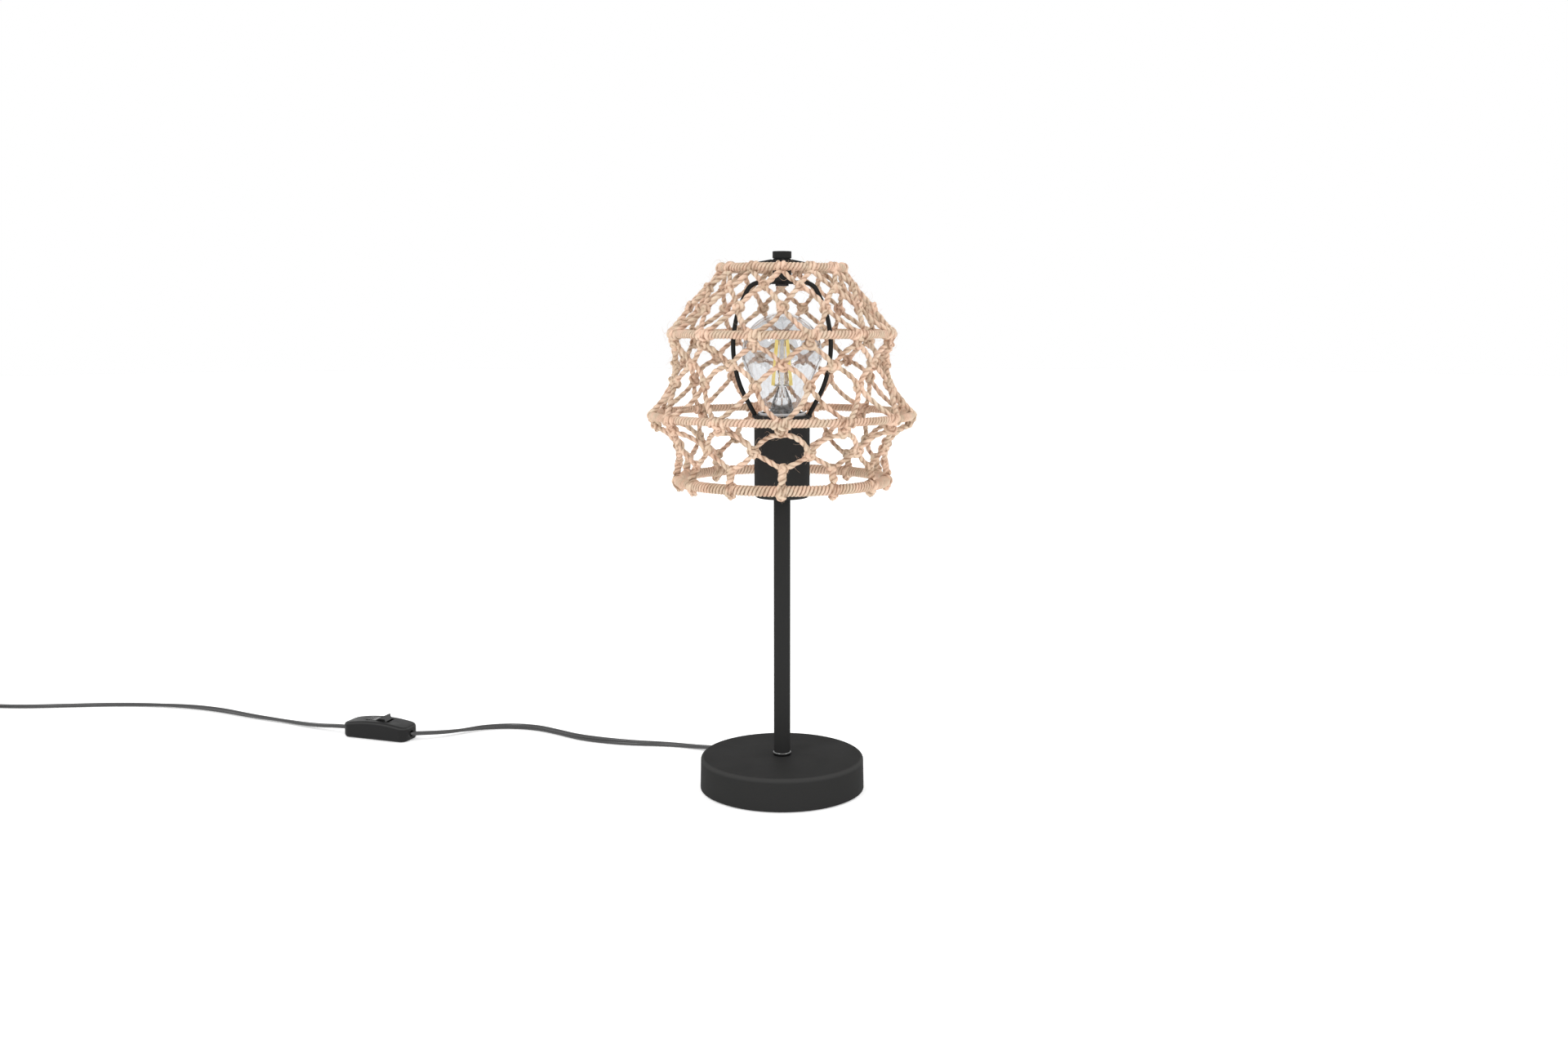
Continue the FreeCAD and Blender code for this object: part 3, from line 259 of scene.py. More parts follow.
def swept(name, points, outline, turns=None, swell=None):
    """Closed tube of a given outline along a line, upright except where it is turned."""
    rings = []
    for i, point in enumerate(points):
        heading = (points[min(i + 1, len(points) - 1)] - points[max(i - 1, 0)]).normalized()
        aside = heading.cross(UP).normalized()
        above = aside.cross(heading).normalized()
        angle = math.radians(turns[i]) if turns else 0.0
        size = swell[i] if swell else 1.0
        ring = []
        for x, y in outline:
            across = x * math.cos(angle) - y * math.sin(angle)
            along = x * math.sin(angle) + y * math.cos(angle)
            ring.append(point + (aside * across + above * along) * size)
        rings.append(ring)
    count = len(outline)
    faces = []
    for r in range(len(rings) - 1):
        for i in range(count):
            j = (i + 1) % count
            faces.append((r * count + i, r * count + j, (r + 1) * count + j, (r + 1) * count + i))
    faces.append(tuple(range(count))[::-1])
    last = (len(rings) - 1) * count
    faces.append(tuple(last + i for i in range(count)))
    mesh = bpy.data.meshes.new(name)
    mesh.from_pydata([p for ring in rings for p in ring], [], faces)
    mesh.validate()
    around = mesh.attributes.new("around", "FLOAT_VECTOR", "POINT")
    gone = 0.0
    for r, point in enumerate(points):
        gone += (point - points[max(r - 1, 0)]).length
        for i in range(count):
            angle = math.tau * i / count
            around.data[r * count + i].vector = (math.cos(angle), math.sin(angle), gone)
    mesh.shade_smooth()
    mesh.set_sharp_from_angle(angle=math.radians(50.0))
    return new_object(name, mesh)


def twin_outline(steps=28):
    """Two round cores side by side, with a groove between them above and below."""
    outline = []
    for i in range(steps):
        angle = math.tau * i / steps
        x = (lobe_offset + lobe_radius) * math.cos(angle)
        height = math.sqrt(max(lobe_radius ** 2 - (abs(x) - lobe_offset) ** 2, 0.0))
        outline.append((x, math.copysign(height, math.sin(angle)) if abs(math.sin(angle)) > 1e-9 else 0.0))
    return outline


def attribute(tree, name, output="Fac"):
    """What a mesh keeps on its points under this name."""
    return add(tree, "ShaderNodeAttribute", attribute_name=name).outputs[output]


def ranged(tree, value, low, high, to_low=0.0, to_high=1.0):
    """The value, moved from one range to another and held inside it."""
    return add(tree, "ShaderNodeMapRange", {
        "Value": value, "From Min": low, "From Max": high, "To Min": to_low, "To Max": to_high}).outputs[0]


def blended(tree, share, first, second, way="MIX"):
    """Colour between two others, each a plain colour or a node's output."""
    ends = [end if isinstance(end, bpy.types.NodeSocket) else (*end, 1.0) for end in (first, second)]
    return add(tree, "ShaderNodeMixRGB", {"Fac": share, "Color1": ends[0], "Color2": ends[1]},
               blend_type=way).outputs[0]


def satin_sheath():
    """Black flexible plastic with a satin skin and faint drag marks along it."""
    material, tree, shader, place = coated(
        "satin_sheath", (0.012, 0.012, 0.0125), 0.28, Specular_IOR_Level=0.85)
    lay = attribute(tree, "around", "Vector")
    stretch = add(tree, "ShaderNodeMapping", {"Vector": lay, "Scale": (3.0, 3.0, 60.0)}).outputs[0]
    marks = noise(tree, stretch, 2.5, 5.0)
    dust = noise(tree, place, 700.0, 3.0)
    driven(tree, shader, Roughness=ranged(tree, marks, 0.3, 0.7, 0.20, 0.34),
           Base_Color=blended(tree, dust, (0.008, 0.008, 0.0085), (0.020, 0.020, 0.0205)))
    bumped(tree, shader, 0.12, 0.0001, marks)
    return material


sheath = satin_sheath()
cord_points, cord_turns = cord_line()
cord = swept("flat_cord", cord_points, twin_outline(), cord_turns)
cord.data.materials.append(sheath)
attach(cord, "stand")
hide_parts("cord_lamp_side", "cord_plug_side", "cord_coil", "cord_tail")


# Strain reliefs.
# Soft black plastic moulded round the lead at the base and at the plug, ribbed so that it bends smoothly.
# The one at the base sits in the wall's hole, and both narrow along the lead.
relief_inside = 0.0125
relief_outside = 0.0145
relief_wide = 0.00455
relief_narrow = 0.0033
plug_relief_length = 0.023
plug_relief_wide = 0.0043
base_ribs = (0.0055, 0.0245)
plug_ribs = (0.004, 0.0205)
rib_pitch = 0.0024
rib_depth = 0.00055
relief_step = 0.0002
relief_end_round = 0.0006
relief_sides = 40
# painted highlight on rounded upper edges: how far up they face, how far from that it reaches, and its grey
highlight_slope = 0.45
highlight_reach = (0.08, 0.38)
highlight_grey = (0.075, 0.075, 0.075)


def stretch_of(points, start, end, step):
    """Evenly spaced points of a line, between two distances along it."""
    found, gone, wanted = [], 0.0, start
    for a, b in zip(points, points[1:]):
        length = (b - a).length
        while wanted <= min(gone + length, end):
            found.append(a.lerp(b, (wanted - gone) / length))
            wanted += step
        gone += length
    return found


def maths(tree, operation, *values):
    """Result of one Math node."""
    return add(tree, "ShaderNodeMath", dict(enumerate(values)), operation=operation).outputs[0]


def less(tree, a, b):
    return maths(tree, "SUBTRACT", a, b)


def moulded_plastic(name, colour, roughness, grain, depth, specular=0.25, painted_highlight=0.0):
    """Plastic with a fine moulded grain and uneven gloss, paler along its rounded upper edges as a painted
    highlight.
    """
    material, tree, shader, place = coated(name, colour, roughness, Specular_IOR_Level=specular)
    fine = noise(tree, place, grain, 4.0, Roughness=0.6)
    broad = noise(tree, place, grain * 0.04, 3.0)
    tone = blended(tree, fine, [c * 0.82 for c in colour], [c * 1.2 for c in colour])
    # painted highlight: paler grey where the surface faces part way up, on the rounding between top and sides
    if painted_highlight:
        facing = add(tree, "ShaderNodeTexCoord").outputs["Normal"]
        upward = add(tree, "ShaderNodeSeparateXYZ", {"Vector": facing}).outputs[2]
        off_edge = maths(tree, "ABSOLUTE", less(tree, upward, highlight_slope))
        tone = blended(tree, ranged(tree, off_edge, *highlight_reach, painted_highlight, 0.0), tone, highlight_grey)
    driven(tree, shader, Base_Color=tone,
           Roughness=ranged(tree, broad, 0.3, 0.7, roughness - 0.06, roughness + 0.06))
    bumped(tree, shader, 0.35, depth, fine)
    return material


def relief(name, points, from_size, to_size, ribs):
    """Tapered tube along a line, with ribs between two distances along it."""
    ribs_from, ribs_to = ribs
    total = relief_step * (len(points) - 1)
    sizes = []
    for i in range(len(points)):
        along = relief_step * i
        size = from_size + (to_size - from_size) * along / total
        if ribs_from < along < ribs_to:
            size -= rib_depth * (0.5 - 0.5 * math.cos(math.tau * (along - ribs_from) / rib_pitch)) ** 2
        at_end = min(along, total - along) / relief_end_round
        if at_end < 1.0:
            size -= relief_end_round * (1.0 - math.sqrt(max(at_end * (2 - at_end), 0.0)))
        sizes.append(size)
    angles = [math.tau * i / relief_sides for i in range(relief_sides)]
    circle = [(math.cos(angle), math.sin(angle)) for angle in angles]
    piece = swept(name, points, circle, None, sizes)
    piece.data.materials.append(soft_black)
    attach(piece, "stand")
    return piece


soft_black = moulded_plastic("soft_black_plastic", (0.014, 0.014, 0.0145), 0.46, 1800.0, 0.00006)
way_out = Vector((cord_exit[0], cord_exit[1], 0.0)).normalized()
wall_start = Vector(cord_exit) - way_out * relief_inside
relief_line = stretch_of(
    [wall_start] + cord_points, 0.0, relief_inside + relief_outside, relief_step)
base_relief = relief("base_strain_relief", relief_line, relief_wide, relief_narrow, base_ribs)
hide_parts("cord_gland")
plug_line = stretch_of(cord_points[::-1], 0.0, plug_relief_length, relief_step)
plug_relief = relief("plug_strain_relief", plug_line, plug_relief_wide, relief_narrow, plug_ribs)


# Tie of the coil.
# A black plastic strap that holds the coiled spare length together, wrapped once and pressed onto itself.
tie_width = 0.0050
tie_thickness = 0.00035
tie_azimuth = -30.0
tie_corner = 0.0016
tie_slack = 0.0006
tie_rise = 0.0004             # how far it stands over the top layer


def tie_line(inner, outer, low, high):
    """Rounded rectangle round the coil's section, with an overlap, as (out, up, facing) stations."""
    stations = []
    corners = ((outer, low, -90), (outer, high, 0), (inner, high, 90), (inner, low, 180))
    for out, up, start in corners:
        centre = (out - math.copysign(tie_corner, out - (inner + outer) / 2),
                  up - math.copysign(tie_corner, up - (low + high) / 2))
        for step in range(7):
            angle = math.radians(start + 15 * step)
            stations.append((
                centre[0] + math.cos(angle) * tie_corner, centre[1] + math.sin(angle) * tie_corner, angle))
    return stations


def coil_tie():
    half_pack = coil_pitch * coil_in_turns / 2 + cord_width / 2
    middle = coil_mean_radius
    line = tie_line(middle - half_pack - tie_slack, middle + half_pack + tie_slack,
                    tie_thickness, coil_rest + cord_thickness + layer_height + tie_rise)
    out = Vector((math.cos(math.radians(tie_azimuth)), math.sin(math.radians(tie_azimuth)), 0.0))
    aside = UP.cross(out)
    points, faces = [], []
    for x, z, angle in line:
        place = coil_centre + out * x + UP * z
        facing = out * math.cos(angle) + UP * math.sin(angle)
        for across, thick in ((-1, 0.0), (1, 0.0), (1, 0.97), (-1, 0.97)):
            points.append(place + aside * (across * tie_width / 2) + facing * (thick * tie_thickness))
    count = len(line)
    for i in range(count):
        j = (i + 1) % count
        for k in range(4):
            n = (k + 1) % 4
            faces.append((i * 4 + k, j * 4 + k, j * 4 + n, i * 4 + n))
    mesh = bpy.data.meshes.new("coil_strap")
    mesh.from_pydata(points, [], faces)
    facing_out(mesh)
    mesh.materials.append(soft_black)
    strap = new_object("coil_strap", mesh)
    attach(strap, "stand")
    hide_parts("coil_tie")
    return strap


def facing_out(mesh):
    """Turns every face of a closed mesh outwards."""
    work = bmesh.new()
    work.from_mesh(mesh)
    bmesh.ops.recalc_face_normals(work, faces=work.faces)
    work.to_mesh(mesh)
    work.free()
    mesh.shade_smooth()
    mesh.set_sharp_from_angle(angle=math.radians(40.0))


strap = coil_tie()


# Inline switch and plug.
# Two-part switch body and flat plug moulded in black plastic with a fine matt grain. The rocker is glossier,
# its pin and the screws are steel, and the terminals and plug pins are nickel-plated brass.
def dress(material, *nodes):
    """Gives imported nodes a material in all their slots."""
    for name in nodes:
        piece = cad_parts[name]
        if not piece.material_slots:
            piece.data.materials.append(material)
        for place in piece.material_slots:
            place.material = material


def metal(name, colour, roughness, grain=900.0, mottle=0.08):
    """Bare or plated metal with fine uneven gloss."""
    material, tree, shader, place = coated(name, colour, roughness, Metallic=1.0)
    fine = noise(tree, place, grain, 5.0, Roughness=0.65)
    driven(tree, shader,
           Roughness=ranged(tree, fine, 0.3, 0.7, max(roughness - mottle, 0.03), roughness + mottle),
           Base_Color=blended(tree, fine, [c * 0.85 for c in colour], [min(c * 1.08, 1.0) for c in colour]))
    bumped(tree, shader, 0.1, 0.00003, fine)
    return material


# the switch and plug get a painted highlight along their rounded upper edges
matt_black = moulded_plastic(
    "matt_black_plastic", (0.014, 0.014, 0.0142), 0.42, 2600.0, 0.00003, specular=0.12, painted_highlight=0.45)
gloss_black = moulded_plastic(
    "gloss_black_plastic", (0.008, 0.008, 0.0082), 0.16, 1200.0, 0.00001, specular=0.7)
nickel = metal("nickel_plate", (0.76, 0.73, 0.68), 0.22)
steel = metal("bright_steel", (0.60, 0.60, 0.60), 0.30)
dress(matt_black, "switch_top", "switch_bottom", "plug_body")
dress(gloss_black, "rocker")
dress(steel, "rocker_pin", "switch_screws")
dress(nickel, "plug_pins", "switch_terminals")


# Base.
# A spun steel cover, powder-coated matt black, over a grey cast-iron weight, on a dark foam pad.
# The cover is clamped to the stem by a washer and a nut on the threaded conduit.
# where the base's rounded top edge lies, and the painted highlight along it: its strength and reach
edge_round = 0.0020
edge_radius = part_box("base_cover")[1][0] - edge_round * 0.3
edge_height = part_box("base_cover")[1][2] - edge_round * 0.3
edge_highlight = 0.42
edge_highlight_reach = (0.0003, 0.0034)


def plus(tree, a, b):
    return maths(tree, "ADD", a, b)


def vectors(tree, operation, *values):
    """Result of one Vector Math node."""
    made = add(tree, "ShaderNodeVectorMath", dict(enumerate(values)), operation=operation)
    return made.outputs["Value" if operation in ("DISTANCE", "LENGTH") else "Vector"]


def combined(tree, x, y=0.0, z=0.0):
    return add(tree, "ShaderNodeCombineXYZ", {"X": x, "Y": y, "Z": z}).outputs[0]


def powder_coat():
    """Matt black baked powder: fine orange peel, a faint speckle, and a painted highlight along the base's
    rounded top edge.
    """
    material, tree, shader, place = coated(
        "powder_coat", (0.026, 0.026, 0.0254), 0.62, Specular_IOR_Level=0.015)
    peel = noise(tree, place, 1100.0, 3.0, Roughness=0.5)
    speck = noise(tree, place, 4200.0, 2.0)
    cloud = noise(tree, place, 28.0, 4.0)
    tone = blended(tree, speck, (0.021, 0.021, 0.0208), (0.034, 0.034, 0.0336))
    x, y, z = add(tree, "ShaderNodeSeparateXYZ", {"Vector": place}).outputs
    off_radius = less(tree, vectors(tree, "LENGTH", combined(tree, x, y)), edge_radius)
    off_height = less(tree, z, edge_height)
    off_edge = plus(tree, maths(tree, "ABSOLUTE", off_radius), maths(tree, "ABSOLUTE", off_height))
    # painted highlight: paler grey near the ring of the base's top edge
    painted_highlight = ranged(tree, off_edge, *edge_highlight_reach, edge_highlight, 0.0)
    driven(tree, shader, Base_Color=blended(tree, painted_highlight, tone, (0.085, 0.085, 0.083)),
           Roughness=ranged(tree, cloud, 0.35, 0.65, 0.57, 0.67))
    bumped(tree, shader, 0.3, 0.00006, peel)
    return material


def rough_casting():
    """Grey cast iron with a sandy skin and a little rust."""
    iron = (0.07, 0.066, 0.062)
    material, tree, shader, place = coated("cast_iron", iron, 0.72, Metallic=0.6)
    rust = ranged(tree, noise(tree, place, 45.0, 5.0), 0.52, 0.72, 0.0, 0.7)
    driven(tree, shader, Base_Color=blended(tree, rust, iron, (0.16, 0.065, 0.03)))
    bumped(tree, shader, 0.8, 0.0004, noise(tree, place, 420.0, 6.0, Roughness=0.7))
    return material


def foam_pad():
    """Dark closed-cell foam, pitted all over."""
    material, tree, shader, place = coated("foam_pad", (0.022, 0.022, 0.022), 0.93, Specular_IOR_Level=0.2)
    cells = add(tree, "ShaderNodeTexVoronoi", {"Vector": place, "Scale": 1300.0}).outputs[0]
    driven(tree, shader, Base_Color=blended(tree, cells, (0.012, 0.012, 0.012), (0.040, 0.040, 0.040)))
    bumped(tree, shader, 0.7, 0.0002, cells)
    return material


coat = powder_coat()
zinc = metal("zinc_plate", (0.62, 0.64, 0.66), 0.38, 600.0, 0.12)
dress(coat, "base_cover")
dress(rough_casting(), "base_weight")
dress(foam_pad(), "base_pad")
dress(zinc, "base_washer", "base_nut")


# Stem.
# A steel tube, powder-coated with the base, on a ring of dark polished nickel.
# The threaded conduit inside it clamps the lamp together.
dress(coat, "stem_tube")
dress(metal("polished_nickel", (0.19, 0.19, 0.19), 0.12, 300.0, 0.04), "stem_foot_ring")
dress(zinc, "threaded_conduit")


# Wiring in the base.
# The lead's end is held by a black nylon bar with two screws.
# Its two insulated wires rise through the stem.
nylon = moulded_plastic("black_nylon", (0.02, 0.02, 0.021), 0.40, 1400.0, 0.00004)
brown_sleeve = moulded_plastic("wire_sleeve", (0.11, 0.045, 0.018), 0.38, 1500.0, 0.00003)
dress(sheath, "cord_inner")
dress(nylon, "cord_clamp")
dress(steel, "clamp_screws")
dress(brown_sleeve, "inner_leads")


# Lamp holder.
# A black powder-coated metal cup over a two-part holder of black thermoset plastic, with a ceramic insert,
# a plated screw shell and a sprung brass contact.
thermoset = moulded_plastic("black_thermoset", (0.012, 0.012, 0.012), 0.33, 1100.0, 0.00003)
ceramic = moulded_plastic("white_ceramic", (0.74, 0.72, 0.67), 0.35, 800.0, 0.00003)
brass = metal("brass", (0.78, 0.56, 0.25), 0.28)
dress(coat, "holder_cup")
dress(thermoset, "holder_cap", "holder_sleeve")
dress(ceramic, "holder_insert")
dress(nickel, "screw_shell")
dress(brass, "centre_contact", "terminal_screws")
dress(zinc, "cup_nut")


# Bulb.
# A clear blown glass pear with a glass stem inside it that holds four yellow filament strips on steel wires.
# Its screw cap is nickel-plated, over a black glass insulator and a soldered contact.
fused_height = 0.014          # from the stem's foot to clear glass


def times(tree, a, b):
    return maths(tree, "MULTIPLY", a, b)


def clear_glass(name, colour, crinkled=0.0):
    """Blown glass, a very little wavy, and crinkled where the stem is fused to the neck."""
    material, tree, shader, place = coated(name, colour, 0.0, Transmission_Weight=1.0, IOR=1.5)
    bumped(tree, shader, 0.5, 0.0020, noise(tree, place, 26.0, 1.5))
    if crinkled:
        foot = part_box("glass_stem")[0][2]
        height = add(tree, "ShaderNodeSeparateXYZ", {"Vector": place}).outputs[2]
        near_foot = ranged(tree, height, foot + fused_height * 0.6, foot + fused_height, crinkled, 0.0)
        folds = noise(tree, place, 260.0, 3.0, Distortion=1.2)
        milky = times(tree, near_foot, ranged(tree, folds, 0.44, 0.56, 0.25, 1.0))
        driven(tree, shader, Transmission_Weight=less(tree, 1.0, milky))
    return material


def filament_strip():
    """Yellow phosphor over a strip of small diodes, with a faint bead pattern along it."""
    material, tree, shader, place = coated(
        "filament_strip", (0.98, 0.80, 0.30), 0.50,
        Emission_Strength=0.42, Emission_Color=(1.0, 0.80, 0.26, 1.0))
    beads = add(tree, "ShaderNodeTexWave", {"Vector": place, "Scale": 260.0, "Distortion": 0.6},
                wave_type="BANDS", bands_direction="Z").outputs[0]
    driven(tree, shader, Base_Color=blended(tree, beads, (0.88, 0.60, 0.08), (0.98, 0.80, 0.24)))
    bumped(tree, shader, 0.3, 0.0001, beads)
    return material


dress(clear_glass("bulb_glass", (0.80, 0.805, 0.815)), "bulb_glass")
dress(clear_glass("stem_glass", (0.90, 0.91, 0.91), 0.85), "glass_stem")
dress(filament_strip(), "filaments")
dress(steel, "filament_supports")
dress(nickel, "bulb_cap")
dress(gloss_black, "bulb_insulator")
dress(metal("solder", (0.55, 0.55, 0.53), 0.42, 500.0, 0.15), "bulb_eyelet")


# Harp.
# A bent steel wire arch on a slotted saddle, powder-coated with the cup.
# A stud and a spacer on top of it carry the shade.
dress(coat, "harp", "harp_saddle", "top_spacer")
dress(metal("black_nickel", (0.040, 0.040, 0.042), 0.12, 700.0, 0.03), "harp_stud")
dress(zinc, "saddle_ring_nut")


# Shade frame and knob.
# Black-coated steel wire: a hub with three arms welded to the top hoop, and three hoops below, all wrapped.
# Two washers and a black knob hold the hub on the stud.
rubber = moulded_plastic("black_rubber", (0.018, 0.018, 0.018), 0.75, 1500.0, 0.00008)
dress(coat, "shade_spider", "hoop_wires", "knob")
dress(rubber, "knob_washer", "shade_washer")


# Jute wound on the hoops.
# Each wire hoop of the shade is covered with natural jute yarn, three strands wound side by side and glued.
# The yarn is loosely spun, so its turns lie a little unevenly and fine fibres stand out of it.
wound_strands = 3
wound_pitch = 0.0028
wound_yarn_radius = 0.0014
points_per_turn = 16
lay_reach = 0.0023                # from a hoop's wire to the core of its yarn, for the length of its streaks
winding_slip = 0.0011
lowest_winding_extra = 0.0009     # the lowest hoop is wound thicker than its solid
# painted shade in the yarn's grooves, multiplied in where its crest measure is low
painted_groove_shade = (0.28, 0.185, 0.13)
fibre_radius = 0.013              # as a share of a fibre's length


def socketed(name, **inputs):
    """Geometry Nodes tree with named number inputs. Returns the tree, its inputs and its output node."""
    tree = bpy.data.node_groups.new(name, "GeometryNodeTree")
    tree.interface.new_socket("Geometry", in_out="INPUT", socket_type="NodeSocketGeometry")
    for label, value in inputs.items():
        kind = "NodeSocketInt" if isinstance(value, int) else "NodeSocketFloat"
        made = tree.interface.new_socket(label, in_out="INPUT", socket_type=kind)
        made.default_value = value
    tree.interface.new_socket("Geometry", in_out="OUTPUT", socket_type="NodeSocketGeometry")
    given = tree.nodes.new("NodeGroupInput")
    out = tree.nodes.new("NodeGroupOutput")
    return tree, given.outputs, out


def formed(piece, tree, **inputs):
    """Runs a tree on a piece with these inputs, and keeps the result as its plain mesh."""
    change = piece.modifiers.new("form", "NODES")
    change.node_group = tree
    sockets = {item.name: item.identifier for item in tree.interface.items_tree if item.in_out == "INPUT"}
    for label, value in inputs.items():
        change[sockets[label]] = value
    ready = piece.evaluated_get(bpy.context.evaluated_depsgraph_get())
    mesh = bpy.data.meshes.new_from_object(ready)
    piece.modifiers.clear()
    old = piece.data
    piece.data = mesh
    bpy.data.meshes.remove(old)
    return piece


def uneven_by(tree, wander, amount):
    """One, more or less by an amount of the wander."""
    return plus(tree, times(tree, wander, amount), 1.0)


def stored(tree, geometry, name, value, kind="FLOAT"):
    """Keeps a value on the points under a name, for the material to read."""
    return add(tree, "GeometryNodeStoreNamedAttribute", {"Geometry": geometry, "Name": name, "Value": value},
               data_type=kind, domain="POINT").outputs[0]


def crested(tree, body, low, high):
    """Keeps how far each point stands out from its yarn's core: 0 in a groove, 1 on a crest, for the painted
    groove shade.
    """
    here = add(tree, "GeometryNodeInputPosition").outputs[0]
    core = add(tree, "GeometryNodeInputNamedAttribute", {"Name": "core"}, data_type="FLOAT_VECTOR").outputs[0]
    return stored(tree, body, "crest", ranged(tree, vectors(tree, "DISTANCE", here, core), low, high))


def curve_ring(tree, points, radius=1.0):
    return add(tree, "GeometryNodeCurvePrimitiveCircle", {
        "Resolution": points, "Radius": radius}, mode="RADIUS").outputs[0]


def yarn_section(tree, sides):
    """Round section of a yarn that remembers which side of it each point is."""
    here = add(tree, "GeometryNodeInputPosition").outputs[0]
    return stored(tree, curve_ring(tree, sides), "around", here, "FLOAT_VECTOR")


def loose_fibres(tree, body, per_area, length, seed):
    """Fine curled fibres standing out of a yarn surface, most of them short."""
    spread = add(tree, "GeometryNodeDistributePointsOnFaces", {
        "Mesh": body, "Density": per_area, "Seed": seed}).outputs
    bent = add(tree, "GeometryNodeCurveQuadraticBezier", {
        "Resolution": 5, "Start": (0.0, 0.0, -0.05), "Middle": (0.05, 0.0, 0.75), "End": (0.80, 0.35, 0.30)})
    share = add(tree, "GeometryNodeSplineParameter").outputs["Factor"]
    hair = add(tree, "GeometryNodeCurveToMesh", {
        "Curve": bent.outputs[0], "Profile Curve": curve_ring(tree, 3, fibre_radius),
        "Scale": less(tree, 1.0, times(tree, share, 0.6)), "Fill Caps": True}).outputs[0]
    spin = add(tree, "FunctionNodeRandomValue", {0: (-0.7, -0.7, 0.0), 1: (0.7, 0.7, math.tau), 8: seed},
               data_type="FLOAT_VECTOR").outputs[0]
    turn = add(tree, "FunctionNodeEulerToRotation", {"Euler": spin}).outputs[0]
    facing = add(tree, "FunctionNodeRotateRotation", {
        "Rotation": spread["Rotation"], "Rotate By": turn}, rotation_space="LOCAL").outputs[0]
    drawn = add(tree, "FunctionNodeRandomValue", {2: 0.0, 3: 1.0, 8: seed}, data_type="FLOAT").outputs[1]
    share_of_length = plus(tree, times(tree, maths(tree, "POWER", drawn, 2.2), 0.85), 0.15)
    # the fibres count as near a crest, so they take little painted groove shade
    return add(tree, "GeometryNodeInstanceOnPoints", {
        "Points": spread["Points"], "Instance": stored(tree, hair, "crest", 0.9), "Rotation": facing,
        "Scale": times(tree, share_of_length, length)}).outputs[0]


def finish_yarn(tree, given, out, line, uneven, run, sides, thick, groove, crest):
    """Turns lines into yarn with loose fibres, as the tree's result."""
    line = stored(tree, stored(tree, line, "along", run), "tone", uneven)
    body = add(tree, "GeometryNodeCurveToMesh", {
        "Curve": line, "Profile Curve": yarn_section(tree, sides),
        "Scale": thick, "Fill Caps": True}).outputs[0]
    body = crested(tree, body, groove, crest)
    joined = add(tree, "GeometryNodeJoinGeometry")
    fibres = loose_fibres(tree, body, given["Fibres"], given["Fibre_Length"], given["Seed"])
    for part in (fibres, body):
        tree.links.new(part, joined.inputs[0])
    real = add(tree, "GeometryNodeRealizeInstances", {"Geometry": joined.outputs[0]})
    smooth = add(tree, "GeometryNodeSetShadeSmooth", {"Geometry": real.outputs[0], "Shade Smooth": True})
    dressed = add(tree, "GeometryNodeSetMaterial", {"Geometry": smooth.outputs[0], "Material": jute})
    tree.links.new(dressed.outputs[0], out.inputs[0])


def jute_yarn():
    """Natural jute: straw and pink in patches, streaked along the fibres, matt, with a soft sheen, and
    painted shade in the grooves of its yarn.
    """
    material, tree, shader, place = coated(
        "jute_yarn", (0.80, 0.59, 0.44), 0.90, Specular_IOR_Level=0.12,
        Sheen_Weight=0.12, Sheen_Roughness=0.5, Sheen_Tint=(1.0, 0.9, 0.78, 1.0))
    # the streaks are long ones, and no two strands have the same
    tone = attribute(tree, "tone")
    lay = combined(tree, 0.0, 0.0, times(tree, attribute(tree, "along"), 120.0))
    apart = combined(tree, times(tree, tone, 37.0), times(tree, tone, 11.0))
    streak_place = vectors(tree, "ADD", vectors(tree, "ADD", attribute(tree, "around", "Vector"), lay), apart)
    streaks = noise(tree, streak_place, 4.5, 6.0, Roughness=0.7)
    patches = times(tree, noise(tree, place, 55.0, 4.0), 0.3)
    mixed = plus(tree, times(tree, streaks, 0.6), plus(tree, patches, times(tree, tone, 0.1)))
    ramp = add(tree, "ShaderNodeValToRGB", {"Fac": mixed})
    stops = ramp.color_ramp.elements
    stops[0].position, stops[0].color = 0.30, (0.42, 0.255, 0.150, 1.0)
    stops[1].position, stops[1].color = 0.70, (0.97, 0.80, 0.65, 1.0)
    stops.new(0.49).color = (0.84, 0.617, 0.462, 1.0)
    wash = ranged(tree, noise(tree, place, 95.0, 3.0), 0.40, 0.60)
    tint = blended(tree, wash, (0.88, 0.93, 0.92), (1.0, 0.95, 0.95))
    stained = blended(tree, 1.0, ramp.outputs[0], tint, "MULTIPLY")
    # painted shade: darker brown in the grooves between turns and plies
    depth = blended(tree, attribute(tree, "crest"), painted_groove_shade, (1.0, 1.0, 1.0))
    driven(tree, shader, Base_Color=blended(tree, 1.0, stained, depth, "MULTIPLY"))
    bumped(tree, shader, 0.8, 0.0004, streaks)
    return material


jute = jute_yarn()


def polar(tree, reach, angle, height):
    """Point at a reach and an angle round the z axis."""
    return combined(tree, times(tree, reach, maths(tree, "COSINE", angle)),
                    times(tree, reach, maths(tree, "SINE", angle)), height)


